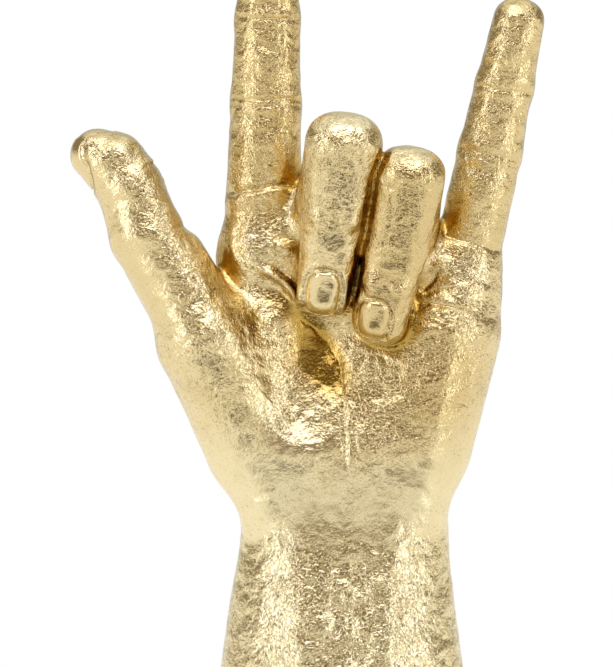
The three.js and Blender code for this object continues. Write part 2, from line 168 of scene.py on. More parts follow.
@dataclass(frozen=True)
class Limb:
    """A tapered limb with round ends, wider along its hinge than across it."""

    start: Point
    end: Point
    halves: Pair
    hinge: Point = (1.0, 0.0, 0.0)
    depth_share: float = 1.0
    squareness: float = 2.0

    def place(self, x: Numbers, y: Numbers, z: Numbers) -> tuple[Numbers, Numbers, Numbers, Numbers]:
        """Where points lie beside the limb.

        Args:
            x: First coordinates.
            y: Second coordinates.
            z: Third coordinates.

        Returns:
            The share of the limb's length, and the three parts of the offset from its line.
        """
        sx, sy, sz = self.start
        ax, ay, az = (e - s for e, s in zip(self.end, self.start))
        ox, oy, oz = x - sx, y - sy, z - sz
        share = np.clip((ox * ax + oy * ay + oz * az) / (ax * ax + ay * ay + az * az), 0.0, 1.0)
        return share, ox - share * ax, oy - share * ay, oz - share * az

    def distance(self, x: Numbers, y: Numbers, z: Numbers) -> Numbers:
        """Distance from points to the limb's skin, below zero inside.

        Args:
            x: First coordinates.
            y: Second coordinates.
            z: Third coordinates.

        Returns:
            One distance for each point.
        """
        share, ox, oy, oz = self.place(x, y, z)
        hx, hy, hz = self.hinge
        sideways = ox * hx + oy * hy + oz * hz
        square = ox * ox + oy * oy + oz * oz
        half = self.halves[0] + (self.halves[1] - self.halves[0]) * share
        if self.squareness == 2.0:
            reach = np.sqrt(np.maximum(square + sideways**2 * (self.depth_share**2 - 1.0), 0.0))
        else:
            n = self.squareness
            outwards = np.sqrt(np.maximum(square - sideways**2, 0.0))
            reach = ((np.abs(sideways) * self.depth_share) ** n + outwards**n) ** (1.0 / n)
        return reach - half * self.depth_share

    def box(self) -> tuple[Numbers, Numbers]:
        """The box round the limb.

        Returns:
            Its lowest and highest corner.
        """
        ends = np.array([self.start, self.end], float)
        half = max(self.halves)
        return ends.min(0) - half, ends.max(0) + half


@dataclass(frozen=True)
class Crease:
    """A fold across a digit at a distance from its knuckle, sharp at its bottom.

    The flesh on the knuckle's side of it stands higher by its step.
    """

    at: float
    depth: float = 0.7
    width: float = 0.8
    step: float = 0.0
    tilt: float = 0.0
    sway: float = 0.6
    on_back: bool = False
    reach: float = 1.25


@dataclass(frozen=True)
class Pad:
    """A cushion or a sleek patch of skin on a digit at a distance from its knuckle."""

    at: float
    height: float
    length: float
    on_back: bool = False
    aside: float = 0.0
    spread: float = 1.0
    sleek: float = 0.0


@dataclass(frozen=True)
class Nail:
    """A nail plate on the back of a fingertip, with its fold and its free edge."""

    half_width: float
    half_length: float
    ahead: float
    aside: float = 0.0
    arch: float = 2.5
    fold: float = 0.55
    crown: float = 2.0
    proud: float = -0.6
    slant: float = 0.7


@dataclass(frozen=True)
class Joint:
    """One joint of a digit, with the direction of the next bone and of its soft side."""

    at: Numbers
    along: Numbers
    soft: Numbers
    hinge: Numbers


@dataclass(frozen=True)
class Digit:
    """A posed digit: its bones from the knuckle to the middle of the tip, and what marks its skin."""

    casting: Casting
    knuckle: Point
    lean: float
    roll: float
    bones: tuple[float, ...]
    bends: tuple[float, ...]
    half_widths: tuple[float, ...]
    depth_share: float
    squareness: float
    joint_at: float
    nail: Nail
    creases: tuple[Crease, ...] = ()
    pads: tuple[Pad, ...] = ()
    # Painted shade: how much browner the digit's leaf is made
    painted_shade_level: float = 0.1
    bone_blend: float = 1.5
    root_blend: float = 6.0
    tip_blend: float = 0.9
    root_end: Pair = (0.55, 1.7)
    skin_reach: Pair = (-2.5, -0.8)
    crease_ends: Pair = (-0.45, 0.25)
    step_edge: Pair = (-0.5, 0.2)
    step_run: Pair = (-7.0, -1.0)
    nail_sleek: float = 0.85
    nail_matt: float = 0.3

    @cached_property
    def joints(self) -> list[Joint]:
        """The posed joints.

        Returns:
            The joints from the knuckle to the middle of the tip.
        """
        lean, roll = math.radians(self.lean), math.radians(self.roll)
        side = np.array([math.cos(lean), 0.0, -math.sin(lean)])
        along = np.array([math.sin(lean), 0.0, math.cos(lean)])
        soft = np.array([0.0, -math.cos(roll), 0.0]) + side * math.sin(roll)
        hinge = np.cross(along, soft)
        at = np.array(self.knuckle, float)
        found = []
        for bone, bend in zip(self.bones, self.bends):
            along, soft = turned(along, hinge, bend), turned(soft, hinge, bend)
            found.append(Joint(at.copy(), along, soft, hinge))
            at = at + along * bone
        found.append(Joint(at.copy(), along, soft, hinge))
        return found

    @cached_property
    def limbs(self) -> list[Limb]:
        """The flesh round the bones.

        Returns:
            One limb for each bone.
        """
        return [
            Limb(
                tuple(here.at),
                tuple(there.at),
                (self.half_widths[i], self.half_widths[i + 1]),
                tuple(here.hinge),
                self.depth_share,
                self.squareness,
            )
            for i, (here, there) in enumerate(zip(self.joints, self.joints[1:]))
        ]

    @cached_property
    def nail_bed(self) -> Joint:
        """Where the nail lies.

        Returns:
            The tip with its directions turned to lie along its tapered back.
        """
        tip = self.joints[-1]
        drop = (self.half_widths[-2] - self.half_widths[-1]) * self.depth_share
        taper = math.degrees(math.atan2(drop, self.bones[-1]))
        along, soft = turned(tip.along, tip.hinge, taper), turned(tip.soft, tip.hinge, taper)
        return Joint(tip.at, along, soft, tip.hinge)

    def distance(self, x: Numbers, y: Numbers, z: Numbers) -> Numbers:
        """Distance from points to the digit's plain skin, below zero inside.

        Args:
            x: First coordinates.
            y: Second coordinates.
            z: Third coordinates.

        Returns:
            One distance for each point.
        """
        level = self.limbs[0].distance(x, y, z)
        for limb in self.limbs[1:]:
            level = blended(level, limb.distance(x, y, z), self.bone_blend)
        return level

    def joined(self, level: Numbers, x: Numbers, y: Numbers, z: Numbers) -> Numbers:
        """The digit joined to a level that is there already, softly at its root and crisply at its tip.

        Args:
            level: Distances to the form so far.
            x: First coordinates.
            y: Second coordinates.
            z: Third coordinates.

        Returns:
            Distances to both together.
        """
        first = self.limbs[0]
        root = first.distance(x, y, z)
        share = first.place(x, y, z)[0] * self.bones[0]
        beyond = root
        for limb in self.limbs[1:]:
            beyond = blended(beyond, limb.distance(x, y, z), self.bone_blend)
        fade = eased(share, *(self.joint_at * end for end in self.root_end))
        fade = np.maximum(fade, eased(root - beyond, 0.0, 3.0))
        return blended(level, beyond, self.root_blend + (self.tip_blend - self.root_blend) * fade)

    def box(self) -> tuple[Numbers, Numbers]:
        """The box round the digit.

        Returns:
            Its lowest and highest corner.
        """
        places = np.array([joint.at for joint in self.joints])
        half = max(self.half_widths)
        return places.min(0) - half, places.max(0) + half

    def places(self, points: Numbers) -> tuple[Numbers, Numbers, Numbers, Numbers]:
        """Where points of the skin lie on the digit.

        Args:
            points: Points of the skin, one a row.

        Returns:
            Distance from the knuckle along the bones, offset along the hinge, offset towards the soft
            side, and distance to the plain skin.
        """
        nearest = np.full(len(points), np.inf)
        run, across, softward = (np.zeros(len(points)) for _ in range(3))
        start = 0.0
        for i, (limb, joint) in enumerate(zip(self.limbs, self.joints)):
            level = limb.distance(*points.T)
            share, *offset = limb.place(*points.T)
            offset = np.stack(offset, 1)
            run_here = start + share * self.bones[i]
            if i == len(self.bones) - 1:
                run_here = run_here + np.maximum(offset @ joint.along, 0.0)
            here = level < nearest
            nearest = np.where(here, level, nearest)
            run = np.where(here, run_here, run)
            across = np.where(here, offset @ joint.hinge, across)
            softward = np.where(here, offset @ joint.soft, softward)
            start += self.bones[i]
        return run, across, softward, nearest

    def marks(self, points: Numbers, wander: Wander) -> tuple[Numbers, Numbers, Numbers]:
        """Creases, pads and nail of the digit.

        Args:
            points: Points of the skin, one a row.
            wander: Noise at the points.

        Returns:
            How far the skin moves outwards in millimetres, and how sleek and how matt it is, 0 to 1.
        """
        run, across, softward, level = self.places(points)
        own = eased(-level, *self.skin_reach)
        turn = np.arctan2(across, softward)
        lift = np.zeros(len(points))
        sway = 0.9 * wander.aside + 0.3 * wander.small
        for crease in self.creases:
            turned_off = math.pi - np.abs(turn) if crease.on_back else np.abs(turn)
            offset = run - crease.at - crease.tilt * np.sin(turn) + crease.sway * sway
            cover = 1.0 - eased(turned_off, *(crease.reach + end for end in self.crease_ends))
            lift -= crease.depth * cover * np.exp(-np.abs(offset) / crease.width)
            below = (1.0 - eased(offset, *self.step_edge)) * eased(offset, *self.step_run)
            lift += crease.step * cover * below
        plate, sleek = self.nail_marks(points)
        matt = self.nail_matt * sleek
        for pad in self.pads:
            face = np.pi if pad.on_back else 0.0
            away = np.abs(np.angle(np.exp(1j * (turn - face - pad.aside))))
            cushion = mound(run - pad.at, pad.length) * mound(away, pad.spread)
            lift += pad.height * cushion
            matt = np.maximum(matt, pad.sleek * eased(cushion, 0.0, 0.8) * (1.0 - sleek))
        return own * (lift + plate), own * np.maximum(self.nail_sleek * sleek, matt), own * matt

    def nail_marks(self, points: Numbers) -> tuple[Numbers, Numbers]:
        """The nail plate, the groove round it and the fold of skin beside it.

        The plate is arched at its root and runs on straight to its free edge, past which the flesh of
        the tip lies lower. All widths are millimetres from the edge of the plate or past its free end.

        Args:
            points: Points of the skin, one a row.

        Returns:
            How far the skin moves outwards in millimetres, and how sleek it is from 0 to 1.
        """
        nail, bed = self.nail, self.nail_bed
        offset = points - bed.at
        aside = np.abs(offset @ bed.hinge - nail.aside) / nail.half_width
        ahead = (offset @ bed.along - nail.ahead) / nail.half_length
        back = -(offset @ bed.soft)
        root = np.maximum(-ahead, 0.0)
        edge = ((aside**nail.arch + root**nail.arch) ** (1.0 / nail.arch) - 1.0) * nail.half_width
        past = (ahead - 1.0) * nail.half_length
        open_end = 1.0 - eased(past, -2.5, -0.5)
        on_back = eased(back, 0.3, 2.0)
        plate = (1.0 - eased(edge, -0.35, 0.05)) * (1.0 - eased(past, -0.25, 0.15))
        groove = 1.3 * mound(edge - 0.1, 0.5) * (1.0 - eased(past, -0.6, 0.2))
        fold = 0.6 * eased(edge, 0.1, 0.9) * (1.0 - eased(edge, 0.9, 3.0)) * open_end
        under = mound(past - 0.5, 0.6) * (1.0 - eased(edge, -0.4, 0.4))
        crown = nail.crown * (1.0 - np.minimum(aside, 1.0) ** 2) * (1.0 - 0.5 * ahead**2)
        crown += nail.proud - nail.slant * ahead
        lift = nail.fold * (fold - groove) + crown * plate - 0.5 * under
        return on_back * lift, on_back * plate


@dataclass(frozen=True)
class ArmLoft:
    """The arm as a loft of ovals from the foot through the wrist into the palm."""

    heights: tuple[float, ...] = (0, 32, 54, 73, 90, 112, 134, 152)
    half_widths: tuple[float, ...] = (40.5, 36.9, 33.9, 31.6, 32, 36, 37.5, 34)
    half_depths: tuple[float, ...] = (29.5, 26.5, 23.5, 21, 18, 15, 13, 11.5)
    middles_x: tuple[float, ...] = (0, -0.4, -0.2, 0.6, 0.5, 0.5, 2.5, 6)
    middles_y: tuple[float, ...] = (0, 0.6, 0.9, 0.8, 0.4, 0.8, 1.2, 1.6)
    squareness: float = 2.35

    def size(self, sizes: tuple[float, ...], z: Numbers) -> Numbers:
        """One size of the arm at heights, on a smooth curve through the sections.

        Args:
            sizes: The size at each section.
            z: Heights.

        Returns:
            The size at each height.
        """
        marks, values = np.array(self.heights, float), np.array(sizes, float)
        last = len(marks) - 1
        before = np.maximum(np.arange(last + 1) - 1, 0)
        after = np.minimum(np.arange(last + 1) + 1, last)
        slopes = (values[after] - values[before]) / (marks[after] - marks[before])
        i = np.clip(np.searchsorted(marks, z, side="right") - 1, 0, last - 1)
        span = marks[i + 1] - marks[i]
        t = np.clip((z - marks[i]) / span, 0.0, 1.0)
        bow = t * (1 - t) * span * ((1 - t) * slopes[i] - t * slopes[i + 1])
        return (values[i] + (values[i + 1] - values[i]) * t * t * (3 - 2 * t) + bow).astype(np.float32)

    def distance(self, x: Numbers, y: Numbers, z: Numbers) -> Numbers:
        """Distance from points to the arm's skin, below zero inside.

        Args:
            x: First coordinates.
            y: Second coordinates.
            z: Third coordinates.

        Returns:
            One distance for each point.
        """
        ox, oy = x - self.size(self.middles_x, z), y - self.size(self.middles_y, z)
        wide, deep = self.size(self.half_widths, z), self.size(self.half_depths, z)
        n = self.squareness
        share = ((np.abs(ox) / wide) ** n + (np.abs(oy) / deep) ** n) ** (1.0 / n)
        radius = np.hypot(ox, oy)
        side = np.where(share > 1e-4, radius - radius / np.maximum(share, 1e-4), -deep)
        return np.maximum(side, z - self.heights[-1])


@dataclass(frozen=True)
class Flesh:
    """A limb of flesh that fills the palm."""

    limb: Limb
    blend: float

    def joined(self, level: Numbers, x: Numbers, y: Numbers, z: Numbers) -> Numbers:
        """The limb joined to a level that is there already.

        Args:
            level: Distances to the form so far.
            x: First coordinates.
            y: Second coordinates.
            z: Third coordinates.

        Returns:
            Distances to both together.
        """
        return blended(level, self.limb.distance(x, y, z), self.blend)

    def box(self) -> tuple[Numbers, Numbers]:
        """The lowest and highest corner round the limb."""
        return self.limb.box()


@dataclass(frozen=True)
class Hollow(Flesh):
    """A hollow that a limb in front of the palm sinks into the flesh."""

    def joined(self, level: Numbers, x: Numbers, y: Numbers, z: Numbers) -> Numbers:
        """The limb taken off a level that is there already.

        Args:
            level: Distances to the form so far.
            x: First coordinates.
            y: Second coordinates.
            z: Third coordinates.

        Returns:
            Distances to what is left.
        """
        return -blended(-level, self.limb.distance(x, y, z), self.blend)


@dataclass(frozen=True)
class PalmLine:
    """A line of the palm, drawn in the front view as points (x, z).

    A line with a depth is a fold, sharp at its bottom. One with a depth below zero is a rounded ridge.
    """

    course: tuple[Pair, ...]
    depth: float
    width: float
    fade: float = 0.2
    sway: float = 0.7

    def lift(self, points: Numbers, wander: Wander) -> Numbers:
        """How far the line moves the skin outwards.

        Args:
            points: Points of the skin, one a row.
            wander: Noise at the points.

        Returns:
            Millimetres, below zero in a fold.
        """
        x = points[:, 0] + self.sway * (wander.aside + 0.3 * wander.small)
        z = points[:, 2] + self.sway * wander.upwards
        nearest = np.full(len(points), np.inf)
        share = np.zeros(len(points))
        course = np.array(self.course, float)
        runs = np.linalg.norm(np.diff(course, axis=0), axis=1)
        total, start = runs.sum(), 0.0
        for (ax, az), (bx, bz), run in zip(course[:-1], course[1:], runs):
            t = np.clip(((x - ax) * (bx - ax) + (z - az) * (bz - az)) / run**2, 0.0, 1.0)
            away = np.hypot(x - ax - t * (bx - ax), z - az - t * (bz - az))
            here = away < nearest
            nearest = np.where(here, away, nearest)
            share = np.where(here, (start + t * run) / total, share)
            start += run
        ends = eased(share, 0.0, self.fade) * (1.0 - eased(share, 1.0 - self.fade, 1.0))
        form = np.exp(-nearest / self.width) if self.depth > 0 else mound(nearest, self.width)
        return -self.depth * (0.1 + 0.9 * ends) * form


@dataclass(frozen=True)
class Swell:
    """A soft rise or hollow of the palm, an oval in the front view."""

    middle: Pair
    radii: Pair
    height: float
    lean: float = 0.0

    def lift(self, points: Numbers) -> Numbers:
        """How far the rise moves the skin outwards.

        Args:
            points: Points of the skin, one a row.

        Returns:
            Millimetres.
        """
        x, z = points[:, 0] - self.middle[0], points[:, 2] - self.middle[1]
        lean = math.radians(self.lean)
        aside, up = x * math.cos(lean) - z * math.sin(lean), x * math.sin(lean) + z * math.cos(lean)
        return self.height * mound(np.hypot(aside / self.radii[0], up / self.radii[1]), 1.0)


@dataclass
class Palm:
    """The palm and forearm: their flesh, lines, rises and the flesh that pressed fingertips push up."""

    arm: ArmLoft = ArmLoft()
    flesh: tuple[Flesh, ...] = (
        Flesh(Limb((-13, 2, 100), (-25, 0.5, 157), (11, 12.4), depth_share=0.96), 12),
        Flesh(Limb((-4, 3, 100), (-3.8, 1.5, 164), (11, 12.4), depth_share=0.92), 12),
        Flesh(Limb((6, 3, 100), (16.6, 1.5, 158), (11, 12), depth_share=0.92), 12),
        Flesh(Limb((14, 2, 96), (36, -1, 149), (11, 10.4), depth_share=0.96), 12),
        Flesh(Limb((22.6, -4, 99.6), (30.9, -3, 132), (15.3, 15.3), depth_share=0.9), 12),
        Flesh(Limb((-25, -3, 101.2), (-40.6, -11, 129), (17.7, 15.2), depth_share=0.94), 14),
        Flesh(Limb((-49.2, -12, 157.6), (-41.5, -9, 144.5), (7, 6.4), depth_share=0.9), 3),
        Hollow(Limb((-13, -28.5, 111), (-6, -22, 132), (14, 12), depth_share=0.9), 7),
    )
    lines: tuple[PalmLine, ...] = (
        # The long line round the ball of the thumb, and the thin ridge beside it
        PalmLine(
            ((-15, 139.5), (-9, 135.3), (-5, 130.5), (-2, 125), (-0.6, 118), (0, 110)),
            0.9,
            1.0,
            fade=0.25,
            sway=0.4,
        ),
        PalmLine(((-0.6, 117), (0.2, 104), (0.7, 88)), 0.6, 1.0, 0.3),
        PalmLine(((1.4, 112), (2.0, 104), (2.2, 88)), -0.3, 0.8, 0.3),
        # Crest of the ball of the thumb
        PalmLine(((-37, 120), (-24, 110), (-12, 99), (-6, 92)), -0.8, 5.0, 0.4),
        # From the web of the thumb into the palm
        PalmLine(((-40, 157), (-36.5, 150), (-34, 143.5), (-33, 138)), 1.0, 1.0, 0.4),
        PalmLine(((-42.5, 160), (-40, 154.5), (-37.5, 149)), -0.8, 1.3, 0.3),
        # The line under the index finger, and the ridge below it that runs on behind the middle one
        PalmLine(((-39, 155.9), (-32, 157.8), (-25.5, 156.9), (-20.4, 153.7), (-15, 148.4)), 0.6, 0.9),
        PalmLine(
            ((-38, 154), (-32, 155.6), (-25.8, 154.6), (-21.5, 151.4), (-16, 146.4), (-13, 141)),
            -2.1,
            1.5,
        ),
        # Across the palm under the little finger
        PalmLine(((21, 143.5), (28, 142.5), (35, 141), (42, 139.6)), 1.0, 0.9),
        PalmLine(((22.5, 146), (26, 149), (29.5, 154)), 1.0, 0.8),
        PalmLine(((23, 145), (28, 147.4), (34, 147)), 0.8, 0.8),
        # Beside the root of the little finger
        PalmLine(((27, 159.3), (32, 158.6), (35, 156.8)), 1.0, 0.9),
        # Two ridges and two furrows up the wrist
        PalmLine(((-3.4, 70), (-2.8, 50), (-2.4, 8)), 0.6, 2.4, 0.3, 1.6),
        PalmLine(((1.2, 74), (1.6, 50), (1.9, 8)), -0.5, 1.3, 0.3, 1.6),
        PalmLine(((6, 74), (6, 50), (5.8, 8)), 0.8, 2.8, 0.3, 1.6),
        PalmLine(((-24.6, 70), (-24, 56), (-24.6, 34), (-24.2, 8)), -0.3, 1.0, 0.3, 2.4),
    )
    swells: tuple[Swell, ...] = (
        # Cushion under the index finger
        Swell((-21, 161.5), (7, 6), 1.6),
        # Folds between the ring and little fingers
        Swell((28.3, 162.5), (2.6, 3), 1.6),
        Swell((29, 154.8), (3.6, 2.8), 1.6),
        # Outer heel of the palm, and the heel that overhangs the wrist
        Swell((28.5, 110), (5, 16), 1.2, 8),
        Swell((2, 98), (14, 17), 1.8),
        Swell((2, 70), (16, 17), -1.6),
        Swell((-24, 81), (9, 8), 2.2),
        Swell((25, 81), (8, 8), 2.0),
        # Flesh between the line under the index finger and the folded tips
        Swell((-17, 139), (5, 7), 0.8, -30),
        # Ridges of the wrist
        Swell((-11.5, 46), (7, 36), 1.0),
        Swell((12.5, 46), (4.5, 36), 1.0),
    )
    stains_and_painted_shade: tuple[Swell, ...] = (
        # Painted amber shade in the hollow of the palm and under the line below the index finger
        Swell((-6, 127), (7, 15), 1.0, -26),
        Swell((-15, 122), (10, 17), 0.5, -28),
        Swell((9, 113), (9, 19), 0.35),
        Swell((-20, 144), (13, 6), 0.6, 30),
        # Painted amber shade round the pressed tip of the ring finger
        Swell((13, 130), (7, 4), 0.5),
    )
    tone_and_painted_light: tuple[Swell, ...] = (
        # Painted shade, where the leaf is browner: outer edge and middle of the palm, ball of the thumb
        Swell((28, 122), (13, 26), 0.75),
        Swell((6, 116), (14, 24), 0.25),
        Swell((-30, 112), (13, 20), 0.15),
        # And painted highlight, paler at the wrist
        Swell((0, 40), (60, 28), -0.4),
    )
    lip_height: float = 1.0
    lip_width: float = 0.8
    lip_away: float = 1.5
    heel_top: float = 106.0
    heel_notch: float = 12.0
    heel_blur: float = 14.0
    heel_foot: Pair = (58.0, 82.0)

    def marks(self, points: Numbers, facing: Numbers, pressed: list[Limb], wander: Wander) -> Numbers:
        """Lines and rises of the palm.

        Args:
            points: Points of the skin, one a row.
            facing: The skin's directions at the points.
            pressed: The fingertips that are pressed on the palm.
            wander: Noise at the points.

        Returns:
            How far the skin moves outwards in millimetres.
        """
        lift = sum(line.lift(points, wander) for line in self.lines)
        lift += sum(swell.lift(points) for swell in self.swells)
        lift *= eased(-facing[:, 1], 0.1, 0.5)
        for tip in pressed:
            away = tip.distance(*points.T)
            lip = self.lip_height * mound(away - self.lip_away, self.lip_width)
            lift += lip * eased(away, 0.1, 0.6)
        return lift * self.own(points)

    def heel(self, points: Numbers, wander: Wander) -> Numbers:
        """Where the sleek heel of the palm lies, whose top dips in the middle.

        Args:
            points: Points of the skin, one a row.
            wander: Noise at the points.

        Returns:
            1 on the heel and 0 off it, for each point.
        """
        x, z = points[:, 0] + 3.0 * wander.aside, points[:, 2] + 4.0 * wander.upwards
        above = z - self.heel_top + self.heel_notch * mound(x - 4.0, 16.0)
        return (1.0 - eased(above, -self.heel_blur, self.heel_blur)) * eased(z, *self.heel_foot)

    def shade(self, points: Numbers) -> Numbers:
        """How deep painted amber shade lies on the skin besides that painted into its crevices, 0 to 1.
        """
        return np.clip(sum(shade_patch.lift(points) for shade_patch in self.stains_and_painted_shade), 0.0, 1.0)

    def painted_shade_level(self, points: Numbers) -> Numbers:
        """How much painted shade browns the leaf of the palm, or how much paler painted highlight makes
        it where this is below zero.
        """
        return sum(patch.lift(points) for patch in self.tone_and_painted_light)

    def own(self, points: Numbers) -> Numbers:
        """How far points belong to the palm and not to a digit, 0 to 1."""
        return eased(-self.own_side(points), -1.6, -0.4)

    def own_side(self, points: Numbers) -> Numbers:
        """The palm without the digits.

        Args:
            points: Points, one a row.

        Returns:
            The distance from each point to it.
        """
        level = self.arm.distance(*points.T)
        for part in self.flesh:
            level = part.joined(level, *points.T)
        return level


# From forms to a mesh


@dataclass
class SkinGrid:
    """A grid of cells on which a form is sampled and meshed."""

    low: Numbers
    high: Numbers
    cell: float

    def __post_init__(self) -> None:
        """Lays out the grid's coordinates along each axis."""
        self.axes = [
            np.arange(low, high + self.cell, self.cell, dtype=np.float32)
            for low, high in zip(self.low, self.high)
        ]

    def window(self, low: Numbers, high: Numbers, margin: float) -> tuple[slice, ...]:
        """The part of the grid inside a box.

        Args:
            low: Lowest corner.
            high: Highest corner.
            margin: How far to go beyond the box.

        Returns:
            One slice for each axis.
        """
        return tuple(
            slice(int(np.searchsorted(axis, a - margin)), int(np.searchsorted(axis, b + margin)))
            for axis, a, b in zip(self.axes, low, high)
        )

    def spread(self, window: tuple[slice, ...]) -> tuple[Numbers, Numbers, Numbers]:
        """The coordinates in a window, ready to be combined with each other."""
        x, y, z = (axis[part] for axis, part in zip(self.axes, window))
        return x[:, None, None], y[None, :, None], z[None, None, :]

    def meshed(self, level: Numbers) -> tuple[Numbers, Numbers]:
        """The surface where a level is zero, with one point in each cell that it passes through.

        Args:
            level: One distance for each grid point, below zero inside.

        Returns:
            The points in millimetres and the four-sided faces.
        """
        inside = level < 0
        shape = np.array(level.shape) - 1
        count = np.zeros(shape, np.uint8)
        corners = [(i, j, k) for i in (0, 1) for j in (0, 1) for k in (0, 1)]
        for i, j, k in corners:
            count += inside[i : i + shape[0], j : j + shape[1], k : k + shape[2]]
        active = (count > 0) & (count < 8)
        index = np.full(shape, -1, np.int64)
        cells = np.argwhere(active)
        index[active] = np.arange(len(cells))
        total, hits = np.zeros((len(cells), 3)), np.zeros(len(cells))
        for corner in corners:
            for axis in range(3):
                if corner[axis] == 1:
                    continue
                step = np.eye(3, dtype=int)[axis]
                a = level[tuple((cells + corner).T)]
                b = level[tuple((cells + corner + step).T)]
                crossed = (a < 0) != (b < 0)
                share = np.where(crossed, a / np.where(crossed, a - b, 1.0), 0.0)
                total += (np.array(corner) + share[:, None] * step) * crossed[:, None]
                hits += crossed
        start = np.array([axis[0] for axis in self.axes], float)
        points = start + (cells + total / hits[:, None]) * self.cell
        faces = []
        for axis in range(3):
            u, v = (axis + 1) % 3, (axis + 2) % 3
            here = np.take(inside, range(level.shape[axis] - 1), axis)
            there = np.take(inside, range(1, level.shape[axis]), axis)
            ends = np.argwhere(here != there)
            keep = (ends[:, u] > 0) & (ends[:, v] > 0)
            keep &= (ends[:, u] < shape[u]) & (ends[:, v] < shape[v])
            ends = ends[keep]
            su, sv = np.eye(3, dtype=int)[u], np.eye(3, dtype=int)[v]
            around = [ends, ends - su, ends - su - sv, ends - sv]
            quad = np.stack([index[tuple(at.T)] for at in around], 1)
            flip = ~here[tuple(ends.T)]
            quad[flip] = quad[flip][:, ::-1]
            faces.append(quad)
        return points, np.concatenate(faces)


@dataclass
class Neighbours:
    """Which points of a mesh share an edge, for averages over neighbours."""

    faces: Numbers
    count: int

    def __post_init__(self) -> None:
        """Collects the edges once in each direction."""
        pairs = np.concatenate([self.faces[:, [i, (i + 1) % 4]] for i in range(4)])
        pairs = np.concatenate([pairs, pairs[:, ::-1]])
        keys = np.unique(pairs[:, 0] * self.count + pairs[:, 1])
        self.here, self.there = keys // self.count, keys % self.count
        self.degree = np.maximum(np.bincount(self.here, minlength=self.count), 1)

    def mean(self, values: Numbers) -> Numbers:
        """Averages over neighbours.

        Args:
            values: One value, or one row of them, for each point.

        Returns:
            The mean of the neighbours' values at each point.
        """
        if values.ndim == 1:
            return np.bincount(self.here, values[self.there], self.count) / self.degree
        return np.stack([self.mean(column) for column in values.T], 1)


def facing_of(points: Numbers, faces: Numbers) -> Numbers:
    """Smooth outward directions at the points of a mesh of four-sided faces.

    Args:
        points: The points.
        faces: The faces.

    Returns:
        One unit direction for each point.
    """
    a, b, c, d = (points[faces[:, i]] for i in range(4))
    across = np.cross(c - a, d - b)
    total = np.stack(
        [
            sum(np.bincount(faces[:, corner], part, len(points)) for corner in range(4))
            for part in across.T
        ],
        axis=1,
    )
    return total / np.maximum(np.linalg.norm(total, axis=1, keepdims=True), 1e-12)


@dataclass
class Skin:
    """The whole skin of the hand as one form, which is sampled on a grid and meshed."""

    palm: Palm
    digits: list[Digit]
    cell: float
    low: Point = (-88.0, -52.0, -3.0)
    high: Point = (68.0, 36.0, 260.0)
    arm_low: Point = (-60.0, -40.0, -4.0)
    arm_high: Point = (62.0, 40.0, 160.0)
    reach: float = 16.0
    outside: float = 20.0
    relax_rounds: int = 3
    slope_step: float = 0.05
    least_slope: float = 0.25
    look_out: tuple[float, ...] = (2.0, 4.5, 9.0, 16.0)

    def level(self, points: Numbers) -> Numbers:
        """Distance from scattered points to the plain skin.

        Args:
            points: Points, one a row.

        Returns:
            One distance for each point.
        """
        level = self.palm.arm.distance(*points.T)
        for part in [*self.palm.flesh, *self.digits]:
            low, high = part.box()
            near = np.all((points > low - self.reach) & (points < high + self.reach), axis=1)
            if near.any():
                level[near] = part.joined(level[near], *points[near].T)
        return level

    def grown(self) -> tuple[Numbers, Numbers]:
        """Samples the forms and meshes them.

        Returns:
            The points in millimetres and the four-sided faces.
        """
        grid = SkinGrid(np.array(self.low), np.array(self.high), self.cell)
        level = np.full([len(axis) for axis in grid.axes], self.outside, np.float32)
        whole = grid.window(np.array(self.arm_low), np.array(self.arm_high), 4.0)
        level[whole] = self.palm.arm.distance(*grid.spread(whole))
        for part in [*self.palm.flesh, *self.digits]:
            window = grid.window(*part.box(), self.reach)
            level[window] = part.joined(level[window], *grid.spread(window))
        return grid.meshed(level)

    def settled(self, points: Numbers, near: Neighbours) -> Numbers:
        """Evens out the mesh and lays its points back on the skin.

        Args:
            points: The points.
            near: Which points share an edge.

        Returns:
            The moved points.
        """
        for _ in range(self.relax_rounds):
            points = points + 0.5 * (near.mean(points) - points)
            level, step = self.level(points), self.slope_step
            slope = [(self.level(points + step * axis) - level) / step for axis in np.eye(3)]
            slope = np.stack(slope, 1)
            steep = np.maximum((slope**2).sum(1), self.least_slope)
            points = points - slope * (level / steep)[:, None]
        return points

    def hollowness(self, points: Numbers, facing: Numbers) -> Numbers:
        """How shut in the skin is, found by looking out from it over a few distances.

        Args:
            points: Points of the skin, one a row.
            facing: The skin's directions at the points.

        Returns:
            0 in the open and 1 in a deep crevice, for each point.
        """
        shut = np.zeros(len(points))
        for out in self.look_out:
            shut += np.clip(1.0 - self.level(points + facing * out) / out, 0.0, 1.0)
        return shut / len(self.look_out)


@dataclass
class SkinMesh:
    """Points and faces of the finished skin, with what its finish needs to know at each point."""

    points: Numbers
    faces: Numbers
    marks: dict[str, Numbers]

    def as_bmesh(self) -> bmesh.types.BMesh:
        """The skin made ready for cutting.

        Returns:
            An editable mesh that carries the marks.
        """
        mesh = bpy.data.meshes.new("whole_skin")
        mesh.from_pydata(self.points.tolist(), [], self.faces.tolist())
        for name, values in self.marks.items():
            layer = mesh.attributes.new(name, "FLOAT", "POINT")
            layer.data.foreach_set("value", values.astype(np.float32))
        work = bmesh.new()
        work.from_mesh(mesh)
        bpy.data.meshes.remove(mesh)
        return work


